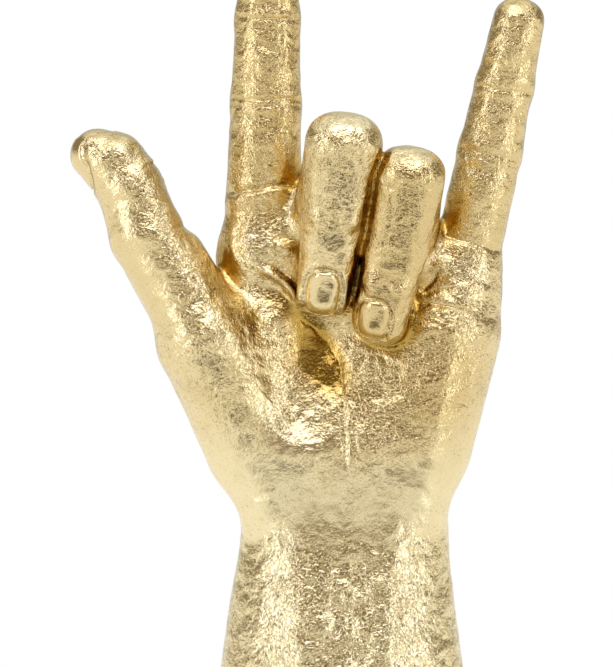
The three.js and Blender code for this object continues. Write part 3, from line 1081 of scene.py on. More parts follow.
def cut_across(
    work: bmesh.types.BMesh, at: Numbers, along: Numbers, near: Callable[[Numbers], Numbers]
) -> None:
    """Cuts edges of a mesh where a plane crosses it, without taking anything off.

    Args:
        work: The mesh.
        at: A point of the plane.
        along: The plane's direction.
        near: Says which points are near enough to be cut.
    """
    work.verts.ensure_lookup_table()
    points = np.array([vert.co for vert in work.verts])
    close = near(points) & (np.abs((points - at) @ along) < CUT_REACH)
    faces = {face for n in np.flatnonzero(close) for face in work.verts[n].link_faces}
    edges = {edge for face in faces for edge in face.edges}
    verts = {vert for face in faces for vert in face.verts}
    bmesh.ops.bisect_plane(
        work,
        geom=[*faces, *edges, *verts],
        dist=CUT_SNAP,
        plane_co=Vector(at),
        plane_no=Vector(along),
    )


def rims_of(faces: list[list[int]]) -> list[list[int]]:
    """Open rims of a mesh.

    Args:
        faces: Its faces, as corners.

    Returns:
        The corners along each rim, in the faces' own direction.
    """
    steps = {(a, b) for face in faces for a, b in zip(face, face[1:] + face[:1])}
    onward: dict[int, list[int]] = {}
    for a, b in sorted(steps):
        if (b, a) not in steps:
            onward.setdefault(a, []).append(b)
    rims = []
    while onward:
        rim, at = [], min(onward)
        while at in onward:
            rim.append(at)
            following = onward[at].pop()
            if not onward[at]:
                del onward[at]
            at = following
        if len(rim) > 2:
            rims.append(rim)
    return rims


@dataclass
class Hand:
    """The hand: its palm and digits, built as one skin and parted into its castings."""

    palm: Palm
    digits: list[Digit]
    folded: tuple[Casting, ...] = (Casting.MIDDLE, Casting.RING)
    cell: float = 0.65
    quick_cell: float = 1.0
    foot_height: float = 2.0
    plate_half: Pair = (28.3, 20.3)
    lip: float = 1.5
    # How strongly the palm's painted amber shade goes into the hollow mark
    painted_shade_depth: float = 0.85
    heel_sleek: float = 0.75
    hollow_sleek: float = 0.7
    # The leaf's usual tone, the painted reflection that pales the heel, and the painted highlight on the
    # folded fingers' tops
    usual_tone: float = 0.45
    heel_painted_reflection: float = 0.5
    folded_top_painted_highlight: float = 0.8
    sleek_calm: float = 0.8
    joint_slack: float = 0.4
    stub_length: float = 3.0
    stub_depth: float = 2.5
    joint_reach: float = 3.0

    def skin(self) -> SkinMesh:
        """Grows the skin and marks it.

        Returns:
            The finished skin.
        """
        skin = Skin(self.palm, self.digits, self.cell)
        points, faces = skin.grown()
        near = Neighbours(faces, len(points))
        points = skin.settled(points, near)
        facing = facing_of(points, faces)
        # How shut in the skin is; the finish paints amber shade into crevices by it
        hollow = skin.hollowness(points, facing)
        wander = Wander(points)
        pressed = [digit.limbs[-1] for digit in self.digits if digit.casting in self.folded]
        lift = self.palm.marks(points, facing, pressed, wander)
        own = self.palm.own(points)
        in_front = eased(-facing[:, 1], 0.0, 0.4)
        # Painted amber shade on the front of the palm, from its patches
        hollow = np.maximum(hollow, self.painted_shade_depth * own * in_front * self.palm.shade(points))
        heel = self.heel_sleek * own * self.palm.heel(points, wander)
        matt, sleek = heel, np.maximum(heel, self.hollow_sleek * eased(hollow, 0.4, 0.75))
        # The leaf's tone with painted light: browner under painted shade on the palm, paler on the heel
        # as a painted reflection of the pale table
        tone_and_painted_light = self.usual_tone + own * self.palm.painted_shade_level(points) - self.heel_painted_reflection * heel
        for digit in self.digits:
            own_lift, own_sleek, own_matt = digit.marks(points, wander)
            lift += own_lift
            sleek = np.maximum(sleek, own_sleek)
            matt = np.maximum(matt, own_matt)
            # Painted shade browns each digit, and a painted highlight pales the upward tops of the
            # folded fingers
            on_top = eased(facing[:, 2], 0.2, 0.8) if digit.casting in self.folded else 0.0
            on_digit = eased(-digit.distance(*points.T), -1.2, -0.2)
            tone_and_painted_light += (digit.painted_shade_level - self.folded_top_painted_highlight * on_top) * on_digit
        lift += (1.0 - self.sleek_calm * sleek) * wander.dents
        marks = {"hollow": hollow, "sleek": sleek, "matt": matt, "tone_and_painted_light": tone_and_painted_light}
        return SkinMesh(points + facing * lift[:, None], faces, marks)

    def owners(self, centres: Numbers) -> Numbers:
        """Which casting each face belongs to: 0 for the palm, then the digits in order.

        Args:
            centres: The middles of the faces.

        Returns:
            One number for each face.
        """
        best = np.zeros(len(centres), int)
        levels = self.palm.own_side(centres)
        for number, digit in enumerate(self.digits, 1):
            root = digit.joints[0]
            above = (centres - root.at) @ root.along - digit.joint_at
            level = digit.distance(*centres.T)
            at_root = digit.limbs[0].distance(*centres.T) <= level + self.joint_slack
            stub = at_root & (above < digit.half_widths[0] + self.stub_length)
            stub &= level < levels + self.stub_depth
            mine = (stub | (level < levels)) & ~(at_root & (above <= 0.0))
            best = np.where(mine, number, best)
            levels = np.where(mine, np.minimum(level, levels), levels)
        return best

    def castings(self, finish: bpy.types.Material) -> list[bpy.types.Object]:
        """Parts the skin at the joints and makes one object for each casting.

        Args:
            finish: The gilding.

        Returns:
            The palm first, then the digits.
        """
        skin = self.skin()
        work = skin.as_bmesh()
        for digit in self.digits:
            root = digit.joints[0]
            at = root.at + root.along * digit.joint_at

            def near(points: Numbers, digit: Digit = digit) -> Numbers:
                """Whether points are on the first bone of the digit."""
                return digit.limbs[0].distance(*points.T) < self.joint_reach

            cut_across(work, at, root.along, near)
        everything = [*work.verts, *work.edges, *work.faces]
        bmesh.ops.bisect_plane(
            work,
            geom=everything,
            dist=CUT_SNAP,
            plane_co=Vector((0, 0, self.foot_height)),
            plane_no=Vector((0, 0, 1)),
            clear_inner=True,
        )
        work.normal_update()
        work.verts.index_update()
        points = np.array([vert.co for vert in work.verts])
        facing = np.array([vert.normal for vert in work.verts])
        faces = [[vert.index for vert in face.verts] for face in work.faces]
        centres = np.array([face.calc_center_median() for face in work.faces])
        marks = {
            name: np.array([vert[work.verts.layers.float[name]] for vert in work.verts])
            for name in skin.marks
        }
        work.free()
        owner = self.owners(centres)
        made = []
        for number, casting in enumerate(Casting):
            own = [faces[n] for n in np.flatnonzero(owner == number)]
            made.append(self.casting(casting, own, points, facing, marks, finish))
        return made

    def lipped(
        self, faces: list[list[int]], points: Numbers, facing: Numbers
    ) -> tuple[list[list[int]], Numbers, Numbers]:
        """Gives a casting a lip inwards at its joints, and the palm its ledge round the base plate.

        Args:
            faces: Its faces, as corners.
            points: Its points.
            facing: Directions of the skin at its points.

        Returns:
            The faces, points and directions with those of the lips.
        """
        faces, all_points, all_facing, count = list(faces), [points], [facing], len(points)
        for rim in rims_of(faces):
            ring, size = points[rim], len(rim)
            inner = ring - self.lip * facing[rim]
            if np.abs(ring[:, 2] - self.foot_height).max() < 0.05:
                share = np.linalg.norm(ring[:, :2] / self.plate_half, axis=1)
                inner = np.column_stack([ring[:, :2] / share[:, None], ring[:, 2]])
            across = np.cross(np.roll(ring, -1, axis=0) - np.roll(ring, 1, axis=0), ring - inner)
            across /= np.maximum(np.linalg.norm(across, axis=1, keepdims=True), 1e-9)
            for n in range(size):
                a, b = count + n, count + (n + 1) % size
                faces.append([b, a, a + size, b + size])
            count += 2 * size
            all_points.extend((ring, inner))
            all_facing.extend((across, across))
        return faces, np.concatenate(all_points), np.concatenate(all_facing)

    def casting(
        self,
        casting: Casting,
        faces: list[list[int]],
        points: Numbers,
        facing: Numbers,
        marks: dict[str, Numbers],
        finish: bpy.types.Material,
    ) -> bpy.types.Object:
        """One casting's own part of the skin as an object.

        Args:
            casting: Which casting it is.
            faces: Its faces, as corners in the whole skin.
            points: Points of the whole skin.
            facing: Smooth directions of the whole skin.
            marks: Values at the points of the whole skin.
            finish: The gilding.

        Returns:
            The object, in metres.
        """
        used = np.unique(np.concatenate([np.array(face) for face in faces]))
        renumber = np.full(len(points), -1)
        renumber[used] = np.arange(len(used))
        own_faces = [[int(renumber[corner]) for corner in face] for face in faces]
        own_faces, own_points, own_facing = self.lipped(own_faces, points[used], facing[used])
        mesh = bpy.data.meshes.new(casting.value)
        mesh.from_pydata((own_points * MM).tolist(), [], own_faces)
        for name, values in marks.items():
            layer = mesh.attributes.new(name, "FLOAT", "POINT")
            own_values = np.pad(values[used], (0, len(own_points) - len(used)))
            layer.data.foreach_set("value", own_values.astype(np.float32))
        mesh.polygons.foreach_set("use_smooth", [True] * len(mesh.polygons))
        mesh.normals_split_custom_set_from_vertices(own_facing.tolist())
        mesh.materials.append(finish)
        piece = bpy.data.objects.new(casting.value.replace("casting", "skin"), mesh)
        bpy.context.scene.collection.objects.link(piece)
        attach(piece, "root")
        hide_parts(casting.value)
        log.info("%s: %d faces", piece.name, len(mesh.polygons))
        return piece


@dataclass(frozen=True)
class FeltPad:
    """The pad of pressed felt under the foot, soft at its cut edge."""

    arm: ArmLoft
    inset: float = 1.5
    thickness: float = 2.0
    edge_bulge: float = 0.012
    nap_depth: float = 0.06
    dimple: float = 0.02
    around: int = 192
    across: int = 24
    up_the_edge: int = 9

    def piece(self, finish: bpy.types.Material) -> bpy.types.Object:
        """Makes the pad.

        Args:
            finish: The felt.

        Returns:
            The object, in metres.
        """
        turn = np.linspace(0, 2 * math.pi, self.around, endpoint=False)
        half_width, half_depth = (
            half[0] - self.inset for half in (self.arm.half_widths, self.arm.half_depths)
        )
        power = 2 / self.arm.squareness
        wide, deep = (np.sign(v) * np.abs(v) ** power for v in (np.cos(turn), np.sin(turn)))
        outline = np.stack([wide * half_width, deep * half_depth], axis=1)
        rise = np.linspace(0, math.pi, self.up_the_edge)
        edge = [(1 - self.edge_bulge * (1 - math.sin(a)), 0.5 - 0.5 * math.cos(a)) for a in rise]
        inner = np.linspace(0.97, 0.03, self.across)
        profile = [(share, 0.0) for share in inner[::-1]] + edge + [(share, 1.0) for share in inner]
        middle = np.array([0.0, 0.0, self.thickness / 2])
        rings = []
        for share, height in profile:
            ring = np.column_stack([outline * share, np.full(self.around, height * self.thickness)])
            nap = np.abs(wandering(ring * [1, 1, 3], size=1.6, seed=41))
            nap = nap + 0.5 * np.abs(wandering(ring, size=0.7, seed=42))
            rings.append(ring - (ring - middle) * (self.nap_depth * nap[:, None] * [0.03, 0.03, 1.0]))
        poles = [[0, 0, self.dimple], [0, 0, self.thickness - self.dimple]]
        points = np.concatenate([*rings, poles])
        count, size = len(rings), self.around
        last = (count - 1) * size
        faces = []
        for start in range(0, last, size):
            for n in range(size):
                here, following = start + n, start + (n + 1) % size
                faces.append([here, following, following + size, here + size])
        for n in range(size):
            following = (n + 1) % size
            faces.append([following, n, count * size])
            faces.append([last + n, last + following, count * size + 1])
        mesh = bpy.data.meshes.new("felt_pad")
        mesh.from_pydata((points * MM).tolist(), [], faces)
        mesh.polygons.foreach_set("use_smooth", [True] * len(mesh.polygons))
        mesh.materials.append(finish)
        pad = bpy.data.objects.new("felt_pad_cloth", mesh)
        bpy.context.scene.collection.objects.link(pad)
        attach(pad, "root")
        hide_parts("felt_pad")
        log.info("%s: %d faces", pad.name, len(mesh.polygons))
        return pad


# Shader maths


Value = Union["Tap", float]


@dataclass
class Tap:
    """One value or colour that a node gives out, which can be reckoned with."""

    bench: "Bench"
    socket: bpy.types.NodeSocket

    def __add__(self, other: Value) -> "Tap":
        """This value plus another."""
        return self.bench.maths("ADD", self, other)

    def __radd__(self, other: Value) -> "Tap":
        """Another value plus this one."""
        return self.bench.maths("ADD", other, self)

    def __sub__(self, other: Value) -> "Tap":
        """This value less another."""
        return self.bench.maths("SUBTRACT", self, other)

    def __rsub__(self, other: Value) -> "Tap":
        """Another value less this one."""
        return self.bench.maths("SUBTRACT", other, self)

    def __mul__(self, other: Value) -> "Tap":
        """This value times another."""
        return self.bench.maths("MULTIPLY", self, other)

    def __rmul__(self, other: Value) -> "Tap":
        """Another value times this one."""
        return self.bench.maths("MULTIPLY", other, self)

    def eased(self, low: float, high: float) -> "Tap":
        """How far the value is from low to high, with soft ends.

        Args:
            low: Where the result is 0.
            high: Where the result is 1.

        Returns:
            A value from 0 to 1.
        """
        settings = {"interpolation_type": "SMOOTHSTEP"}
        inputs = {"Value": self, "From Min": low, "From Max": high}
        return self.bench.node("ShaderNodeMapRange", settings, inputs, "Result")


@dataclass
class Bench:
    """A node tree on which a finish is put together."""

    tree: bpy.types.NodeTree

    def node(
        self,
        kind: str,
        settings: Optional[dict[str, Any]] = None,
        inputs: Optional[dict[Union[str, int], Any]] = None,
        output: Union[str, int] = 0,
    ) -> Tap:
        """Adds a node.

        Args:
            kind: The node's type.
            settings: What is set on the node itself, before its sockets.
            inputs: Values or links for its sockets, by name or number.
            output: Which of its outputs to give back.

        Returns:
            The output.
        """
        made = self.tree.nodes.new(kind)
        for name, value in (settings or {}).items():
            setattr(made, name, value)
        for name, value in (inputs or {}).items():
            if isinstance(value, Tap):
                self.tree.links.new(value.socket, made.inputs[name])
            else:
                made.inputs[name].default_value = value
        return Tap(self, made.outputs[output]) if len(made.outputs) else Tap(self, made.inputs[0])

    def maths(self, operation: str, a: Value, b: Value = 0.0) -> Tap:
        """One sum of two values."""
        return self.node("ShaderNodeMath", {"operation": operation}, {0: a, 1: b})

    def mixed(self, share: Value, a: Any, b: Any) -> Tap:
        """Two colours mixed by a share."""
        settings = {"data_type": "RGBA", "clamp_factor": True}
        return self.node("ShaderNodeMix", settings, {0: share, 6: a, 7: b}, 2)

    def vectors(self, operation: str, a: Any, b: Any = (0, 0, 0), output: Union[str, int] = 0) -> Tap:
        """One sum of two vectors."""
        return self.node("ShaderNodeVectorMath", {"operation": operation}, {0: a, 1: b}, output)

    def part(self, vector: Tap, axis: int) -> Tap:
        """One part of a vector: 0 for x, 1 for y or 2 for z."""
        return self.node("ShaderNodeSeparateXYZ", {}, {0: vector}, axis)

    def mark(self, name: str) -> Tap:
        """A value that the mesh carries at its points."""
        return self.node("ShaderNodeAttribute", {"attribute_name": name}, {}, "Fac")

    def place(self) -> Tap:
        """The point's place on the object, in metres."""
        return self.node("ShaderNodeTexCoord", {}, {}, "Object")

    def cloud(self, place: Tap, size: float, detail: float = 2.0, warp: float = 0.0) -> Tap:
        """Noise of soft-edged patches.

        Args:
            place: Where the noise is read.
            size: The size of its features in millimetres.
            detail: How many finer layers lie on it.
            warp: How far it is twisted.

        Returns:
            A value round 0.5.
        """
        inputs = {"Vector": place, "Scale": 1.0 / (size * MM), "Detail": detail, "Distortion": warp}
        return self.node("ShaderNodeTexNoise", {}, inputs, 0)

    def cells(self, place: Tap, size: float) -> Tap:
        """Distances to scattered points about a size in millimetres apart."""
        inputs = {"Vector": place, "Scale": 1.0 / (size * MM)}
        return self.node("ShaderNodeTexVoronoi", {}, inputs, "Distance")

    def relief(self, height: Tap, depth: float) -> Tap:
        """The skin's direction over a relief whose height 1 is a depth in millimetres."""
        inputs = {"Height": height, "Distance": depth * MM, "Strength": 1.0}
        return self.node("ShaderNodeBump", {}, inputs, "Normal")


def blank_material(name: str) -> tuple[bpy.types.Material, Bench]:
    """A new material with nothing in its tree.

    Args:
        name: The material's name.

    Returns:
        The material and a bench on its tree.
    """
    material = bpy.data.materials.new(name)
    material.use_nodes = True
    material.node_tree.nodes.clear()
    return material, Bench(material.node_tree)


def shown(bench: Bench, surface: Tap) -> None:
    """Links a surface to the material's output."""
    bench.node("ShaderNodeOutputMaterial", {}, {"Surface": surface})


@dataclass(frozen=True)
class GoldLeaf:
    """Crinkled gold leaf over resin, pale on the open skin, with painted amber shade in the hollows and
    painted shade and highlight in its tone.
    """

    # Paler gold for painted highlight and browner gold for painted shade, mixed by the tone mark
    pale_gold_and_painted_highlight: Colour = (0.95, 0.82, 0.50, 1)
    brown_gold_and_painted_shade: Colour = (0.74, 0.565, 0.26, 1)
    worn: Colour = (0.64, 0.50, 0.23, 1)
    # Amber for painted shade in crevices and hollows
    painted_crevice_shade: Colour = (0.52, 0.33, 0.075, 1)
    speck: Colour = (0.30, 0.23, 0.11, 1)
    patch_size: float = 6.0
    roll_size: float = 5.0
    wave_size: float = 2.2
    pit_spacing: float = 1.5
    crumple_size: float = 0.85
    fine_size: float = 0.45
    roll: float = 3.0
    wave: float = 1.1
    depth: float = 0.30
    pit_radii: Pair = (0.08, 0.2)
    pitted: Pair = (0.45, 0.6)
    dulled: Pair = (0.45, 0.65)
    crests: Pair = (0.5, 0.7)
    shut_in: Pair = (0.26, 0.8)
    gloss: float = 0.12

    def material(self) -> bpy.types.Material:
        """Lays the leaf.

        Returns:
            The material.
        """
        material, bench = blank_material("gilded_resin_leaf")
        place = bench.place()
        hollow, sleek, matt, tone_and_painted_light = (bench.mark(name) for name in ("hollow", "sleek", "matt", "tone_and_painted_light"))
        crinkled = 1.0 - 0.8 * sleek
        patches = bench.cloud(place, self.patch_size, detail=3.0)
        crumple = bench.cloud(place, self.crumple_size, detail=1.6, warp=0.9)
        fine = bench.cloud(place, self.fine_size, detail=1.0, warp=0.8)
        pits = 1.0 - bench.cells(place, self.pit_spacing).eased(*self.pit_radii)
        pits = pits * patches.eased(*self.pitted)
        # Crinkles, the waves that they ride on, and the slow roll of the cast skin under them
        height = (crumple * (0.35 + 0.9 * patches) + 0.06 * fine) * crinkled - 0.15 * pits
        waves = bench.cloud(place, self.wave_size, detail=0.5, warp=0.5)
        height = height + self.wave * waves * crinkled
        rolls = bench.cloud(place, self.roll_size, detail=0.5, warp=0.5)
        height = height + self.roll * rolls * (1.0 - 0.6 * sleek)
        dull = 0.25 * patches.eased(*self.dulled) + 0.7 * crumple.eased(*self.crests)
        # Painted highlight and painted shade in the leaf's tone
        colour = bench.mixed(tone_and_painted_light, self.pale_gold_and_painted_highlight, self.brown_gold_and_painted_shade)
        colour = bench.mixed(dull * crinkled, colour, self.worn)
        # Painted shade: amber where the skin is shut in
        colour = bench.mixed(hollow.eased(*self.shut_in), colour, self.painted_crevice_shade)
        colour = bench.mixed(pits * 0.6, colour, self.speck)
        inputs = {
            "Base Color": colour,
            "Metallic": 1.0,
            "Roughness": self.gloss + 0.08 * fine + 0.16 * matt,
            "Normal": bench.relief(height, self.depth),
        }
        shown(bench, bench.node("ShaderNodeBsdfPrincipled", {}, inputs))
        return material


@dataclass(frozen=True)
class BrushedSteel:
    """Plain steel with fine lines from its drawing or milling."""

    name: str
    bright: Colour = (0.42, 0.43, 0.44, 1)
    stained: Colour = (0.20, 0.17, 0.15, 1)

    def material(self) -> bpy.types.Material:
        """Draws or mills the steel.

        Returns:
            The material.
        """
        material, bench = blank_material(self.name)
        place = bench.place()
        lines = bench.cloud(place, size=0.6, detail=3.0)
        stains_and_painted_shade = bench.cloud(place, size=7.0, detail=3.0).eased(0.5, 0.75)
        inputs = {
            "Base Color": bench.mixed(stains_and_painted_shade * 0.5, self.bright, self.stained),
            "Metallic": 1.0,
            "Roughness": 0.32 + 0.2 * lines,
            "Normal": bench.relief(lines, depth=0.03),
        }
        shown(bench, bench.node("ShaderNodeBsdfPrincipled", {}, inputs))
        return material


@dataclass(frozen=True)
class CastIron:
    """Rough cast iron, grey and dull."""

    grey: Colour = (0.06, 0.06, 0.065, 1)
    scaled: Colour = (0.12, 0.10, 0.085, 1)

    def material(self) -> bpy.types.Material:
        """Casts the iron.

        Returns:
            The material.
        """
        material, bench = blank_material("ballast_cast_iron")
        place = bench.place()
        sand = bench.cloud(place, size=0.9, detail=4.0)
        scale = bench.cloud(place, size=6.0, detail=3.0).eased(0.4, 0.7)
        inputs = {
            "Base Color": bench.mixed(scale, self.grey, self.scaled),
            "Metallic": 0.6,
            "Roughness": 0.6 + 0.2 * sand,
            "Normal": bench.relief(sand, depth=0.25),
        }
        shown(bench, bench.node("ShaderNodeBsdfPrincipled", {}, inputs))
        return material


@dataclass(frozen=True)
class PressedFelt:
    """Black pressed felt, with short fibres."""

    black: Colour = (0.006, 0.006, 0.006, 1)
    dusty: Colour = (0.035, 0.033, 0.031, 1)

    def material(self) -> bpy.types.Material:
        """Presses the felt.

        Returns:
            The material.
        """
        material, bench = blank_material("black_felt")
        place = bench.place()
        fibres = bench.cloud(place, size=0.35, detail=5.0, warp=2.5)
        tufts = bench.cloud(place, size=2.5, detail=3.0)
        inputs = {
            "Base Color": bench.mixed(fibres * 0.6 + tufts * 0.4, self.black, self.dusty),
            "Roughness": 0.95,
            "Sheen Weight": 0.3,
            "Normal": bench.relief(fibres, depth=0.25),
        }
        shown(bench, bench.node("ShaderNodeBsdfPrincipled", {}, inputs))
        return material


# Pieces that keep their CAD solids


def dressed(node: str, finish: bpy.types.Material) -> None:
    """Puts a finish on a CAD solid in place of its plain one.

    Args:
        node: The solid's name.
        finish: The finish.
    """
    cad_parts[node].data.materials[0] = finish
    log.info("%s: %s", node, finish.name)


@dataclass(frozen=True)
class Rods:
    """The steel rods that carry the three long digits over their joints."""

    nodes: tuple[str, ...] = ("thumb_rod", "index_finger_rod", "little_finger_rod")

    def dress(self) -> None:
        """Makes each rod of drawn steel."""
        for node in self.nodes:
            dressed(node, BrushedSteel("rod_bright_steel").material())


@dataclass(frozen=True)
class Foot:
    """The foot of the forearm: its ballast, the plate that shuts it in and the felt under them."""

    pad: FeltPad

    def dress(self) -> None:
        """Finishes the plate and the ballast, and lays the felt."""
        dressed("base_plate", BrushedSteel("plate_steel_milled").material())
        dressed("ballast_block", CastIron().material())
        self.pad.piece(PressedFelt().material())


# Studio


@dataclass(frozen=True)
class Softbox:
    """A soft lamp, given by the glow that its face shows in a mirror."""

    name: str
    place: Point
    aim: Point
    width: float
    height: float
    glow: float
    tone: Point = (0.76, 0.80, 1.0)

    def light(self) -> bpy.types.Object:
        """Sets up the lamp.

        Returns:
            The lamp, aimed at the hand and out of the camera's sight.
        """
        data = bpy.data.lights.new(self.name, "AREA")
        data.shape = "RECTANGLE"
        data.size, data.size_y = self.width, self.height
        data.energy = self.glow * math.pi * self.width * self.height
        data.color = self.tone
        lamp = bpy.data.objects.new(self.name, data)
        lamp.location = self.place
        lamp.rotation_euler = (Vector(self.aim) - Vector(self.place)).to_track_quat("-Z", "Y").to_euler()
        lamp.visible_camera = False
        bpy.context.scene.collection.objects.link(lamp)
        return lamp


@dataclass
class Studio:
    """Floor, light and camera."""

    lamps: tuple[Softbox, ...] = (
        Softbox("lamp_left", (-0.78, -0.66, 0.36), (0, 0, 0.12), 0.28, 0.8, 2.7),
        Softbox("lamp_right", (0.80, -0.62, 0.34), (0, 0, 0.12), 0.26, 0.8, 2.6),
        Softbox("lamp_over", (0.0, -0.6, 0.88), (0, 0, 0.14), 0.85, 0.5, 2.4),
    )
    front_room: Colour = (0.21, 0.15, 0.075, 1)
    side_room: Colour = (0.26, 0.22, 0.16, 1)
    back_room: Colour = (0.66, 0.65, 0.62, 1)
    horizon: Colour = (0.90, 0.88, 0.84, 1)
    white: Colour = (1, 1, 1, 1)
    paper: Colour = (0.86, 0.86, 0.85, 1)
    table_cream: Colour = (1, 0.99, 0.98, 1)
    # Brown of the painted shade before the hand, and of what lies beyond the table's front edge
    shade_and_room_brown: Colour = (1, 0.80, 0.50, 1)
    brown_glow: float = 0.14
    shade_of_room: float = 0.8
    shadow_reach: Pair = (0.16, 0.36)
    front: Pair = (-0.9, -0.5)
    back: Pair = (0.78, 0.94)
    skirting: Pair = (0.0, 0.28)
    ceiling: Pair = (0.5, 0.85)
    # Where the patch of painted shade lies on the table before the hand
    painted_shade_front: Pair = (-0.24, -0.19)
    painted_shade_back: Pair = (-0.13, -0.09)
    painted_shade_side: Pair = (0.07, 0.15)
    table_edge: Pair = (-1.5, -1.2)
    camera_place: Point = (-0.0113, -1.2, 0.1334)
    view_height: float = 0.2034
    sensor: float = 36.0
    floor_half: float = 3.0

    def set_up(self) -> None:
        """Builds the studio."""
        bpy.context.scene.view_settings.view_transform = "Standard"
        self.add_world()
        self.add_floor()
        for lamp in self.lamps:
            lamp.light()
        self.add_camera()

    def add_camera(self) -> None:
        """Stands the camera where the photograph was taken from."""
        data = bpy.data.cameras.new("camera")
        data.sensor_width = self.sensor
        data.lens = self.sensor * -self.camera_place[1] / self.view_height
        data.clip_end = 20.0
        camera = bpy.data.objects.new("camera", data)
        camera.location = self.camera_place
        camera.rotation_euler = (math.pi / 2, 0, 0)
        bpy.context.scene.collection.objects.link(camera)
        bpy.context.scene.camera = camera

    def add_world(self) -> None:
        """A white studio behind the hand, with a dim room in front of it."""
        world = bpy.data.worlds.new("studio")
        world.use_nodes = True
        world.node_tree.nodes.clear()
        bench = Bench(world.node_tree)
        bpy.context.scene.world = world
        camera, glossy, through = (
            bench.node("ShaderNodeLightPath", {}, {}, f"Is {kind} Ray")
            for kind in ("Camera", "Glossy", "Transmission")
        )
        look = bench.node("ShaderNodeTexCoord", {}, {}, "Generated")
        level = bench.vectors("NORMALIZE", bench.vectors("MULTIPLY", look, (1, 1, 0)))
        ahead, height = bench.part(level, 1), bench.part(look, 2)
        # What the gilding mirrors: a room that is brown in front, white overhead and grey behind
        room = bench.mixed(ahead.eased(*self.front), self.front_room, self.side_room)
        room = bench.mixed(height.eased(*self.skirting), self.horizon, room)
        room = bench.mixed(height.eased(*self.ceiling), room, self.white)
        room = bench.mixed(ahead.eased(*self.back), room, self.back_room)
        colour = bench.mixed(glossy, self.white, room)
        seen = bench.maths("MAXIMUM", camera, bench.maths("MAXIMUM", glossy, through))
        strength = bench.maths("MAXIMUM", seen, self.shade_of_room)
        background = bench.node("ShaderNodeBackground", {}, {"Color": colour, "Strength": strength})
        bench.node("ShaderNodeOutputWorld", {}, {"Surface": background})

    def add_floor(self) -> None:
        """A pale floor that runs out into the white."""
        half = self.floor_half
        mesh = bpy.data.meshes.new("floor")
        corners = [(-half, -half, 0), (half, -half, 0), (half, half, 0), (-half, half, 0)]
        mesh.from_pydata(corners, [], [(0, 1, 2, 3)])
        floor = bpy.data.objects.new("floor", mesh)
        bpy.context.scene.collection.objects.link(floor)
        material, bench = blank_material("pale_floor")
        place = bench.place()
        away = bench.vectors("LENGTH", place, output="Value").eased(*self.shadow_reach)
        pale = bench.node("ShaderNodeBsdfDiffuse", {}, {"Color": self.paper})
        white = bench.node("ShaderNodeEmission", {}, {"Color": self.white, "Strength": 1.0})
        seen = bench.node("ShaderNodeMixShader", {}, {0: away, 1: pale, 2: white})
        # The gilding mirrors a cream table that is brown beyond its front edge, and a brown patch of
        # painted shade just before the hand, the hand's own shade on the table, which only reflections
        # see
        glossy = bench.node("ShaderNodeLightPath", {}, {}, "Is Glossy Ray")
        beside, ahead = bench.part(place, 0), bench.part(place, 1)
        # Painted shade: a brown patch before the hand that only the gilding's reflections see
        painted_shade_and_room = ahead.eased(*self.painted_shade_front) * (1.0 - ahead.eased(*self.painted_shade_back))
        painted_shade_and_room = painted_shade_and_room * (1.0 - bench.maths("ABSOLUTE", beside).eased(*self.painted_shade_side))
        painted_shade_and_room = bench.maths("MAXIMUM", painted_shade_and_room, 1.0 - ahead.eased(*self.table_edge))
        cream = bench.node("ShaderNodeEmission", {}, {"Color": self.table_cream, "Strength": 1.0})
        glow = {"Color": self.shade_and_room_brown, "Strength": self.brown_glow}
        brown = bench.node("ShaderNodeEmission", {}, glow)
        table = bench.node("ShaderNodeMixShader", {}, {0: painted_shade_and_room, 1: cream, 2: brown})
        shown(bench, bench.node("ShaderNodeMixShader", {}, {0: glossy, 1: seen, 2: table}))
        mesh.materials.append(material)


# The hand of the photograph


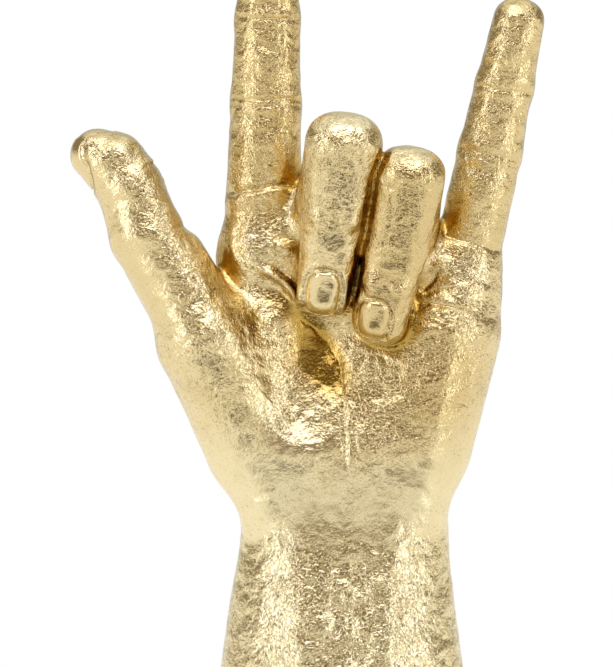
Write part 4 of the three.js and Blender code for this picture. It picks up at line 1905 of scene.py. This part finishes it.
def drawn_digits() -> list[Digit]:
    """The five digits in their pose.

    Returns:
        The thumb first and the little finger last.
    """
    return [
        Digit(
            Casting.THUMB,
            (-42.4, -13, 132.9),
            lean=-39.3,
            roll=95.2,
            bones=(34.4, 15.4, 8.8, 5.7),
            bends=(9.9, 10.4, -17.7, -21.2),
            half_widths=(12.5, 12, 10.7, 9.8, 8.2),
            depth_share=0.93,
            squareness=2.3,
            joint_at=24,
            nail=Nail(7, 8, 0.6, crown=0.5, proud=0.0, slant=0.0),
            creases=(Crease(32, 0.5, 0.9, tilt=0.8), Crease(50, 0.5, 0.8), Crease(47.6, 0.3, 0.6)),
            pads=(
                Pad(58, 0.7, 8),
                Pad(20, 0.5, 7),
                Pad(30, 0.0, 24, on_back=True, aside=0.9, spread=0.55, sleek=0.7),
            ),
        ),
        Digit(
            Casting.INDEX,
            (-24.6, 0, 157),
            lean=1.4,
            roll=-0.7,
            bones=(46.6, 25.2, 17.6),
            bends=(2.5, 0, 4.2),
            half_widths=(12.2, 10.6, 9.8, 8.2),
            depth_share=0.9,
            squareness=2.3,
            joint_at=20,
            nail=Nail(5.8, 7, 0),
            creases=(
                Crease(20.6, 1.3, 1.0, step=0.9, tilt=1.5, reach=1.4),
                Crease(47.5, 0.8, 0.6, tilt=0.2),
                Crease(45.5, 0.5, 0.5, tilt=0.4),
                Crease(71.5, 0.7, 0.6),
            ),
            pads=(Pad(34, 0.6, 8), Pad(59, 0.6, 7), Pad(82, 0.6, 8)),
            painted_shade_level=0.6,
        ),
        Digit(
            Casting.MIDDLE,
            (-3.8, 1, 165),
            lean=7.2,
            roll=0.9,
            bones=(44, 23.9, 22.4),
            bends=(57.2, 147.5, -10.4),
            half_widths=(12.3, 11.2, 9.9, 8),
            depth_share=0.9,
            squareness=2.4,
            joint_at=14,
            nail=Nail(5.7, 7.7, -1.6, -0.5),
            creases=(
                Crease(47.6, 0.15, 0.6, on_back=True, reach=0.8, sway=1.4),
                Crease(50.2, 0.25, 0.6, on_back=True, reach=0.9, sway=1.4),
                Crease(58.6, 0.2, 0.5, on_back=True, reach=0.8, sway=1.2),
                Crease(60.9, 0.2, 0.5, on_back=True, reach=0.7, sway=1.2),
                Crease(75.4, 0.15, 0.4, on_back=True, reach=0.3),
            ),
            pads=(
                Pad(64.2, 1.9, 2.6, on_back=True, aside=0.45, spread=0.32),
                Pad(64.2, 1.7, 2.6, on_back=True, aside=-0.5, spread=0.32),
                Pad(75, 0.0, 5.5, on_back=True, spread=0.7, sleek=0.35),
                Pad(41, 0.0, 5, on_back=True, spread=0.8, sleek=0.3),
                Pad(55, -0.3, 3, on_back=True, spread=0.6),
            ),
        ),
        Digit(
            Casting.RING,
            (16.6, 1, 158),
            lean=12.5,
            roll=-3,
            bones=(41.6, 23.1, 22.1),
            bends=(58.8, 145.6, -11.4),
            half_widths=(11.8, 10, 9.5, 8.3),
            depth_share=0.92,
            squareness=2.5,
            joint_at=13,
            nail=Nail(5.3, 6.5, -1, -2),
            creases=(
                Crease(42.5, 0.3, 0.6, on_back=True, reach=0.9, sway=1.0),
                Crease(56, 0.2, 0.5, on_back=True, reach=0.8, sway=1.4),
                Crease(60, 0.2, 0.5, on_back=True, reach=0.8, sway=1.4),
            ),
            pads=(
                Pad(75, 1.8, 2.4, on_back=True, aside=0.5, spread=0.35),
                Pad(75, 1.6, 2.4, on_back=True, aside=-0.5, spread=0.35),
                Pad(68, 0.0, 4, on_back=True, aside=0.3, spread=0.6, sleek=0.5),
            ),
            painted_shade_level=0.5,
        ),
        Digit(
            Casting.LITTLE,
            (36, -1, 149),
            lean=12.3,
            roll=-1,
            bones=(40.6, 20.3, 20.1),
            bends=(2.8, 0, 2.9),
            half_widths=(10.4, 9.6, 8.8, 7.9),
            depth_share=0.92,
            squareness=2.2,
            joint_at=17,
            nail=Nail(4.9, 5.8, 0),
            creases=(
                Crease(12.3, 0.8, 0.8, step=0.4, tilt=-0.8, reach=1.3),
                Crease(40, 0.8, 0.6),
                Crease(38.3, 0.3, 0.5),
                Crease(59.8, 0.7, 0.6, tilt=0.3),
                Crease(61.6, 0.25, 0.45),
            ),
            pads=(Pad(26, 0.5, 8), Pad(50, 0.5, 6), Pad(71, 0.5, 7)),
            painted_shade_level=0.4,
        ),
    ]


def main() -> None:
    """Builds the hand, its foot and the studio."""
    logging.basicConfig(level=logging.INFO)
    hand = Hand(Palm(), drawn_digits())
    hand.castings(GoldLeaf().material())
    Rods().dress()
    Foot(FeltPad(hand.palm.arm)).dress()
    Studio().set_up()


if __name__ == "__main__":
    main()
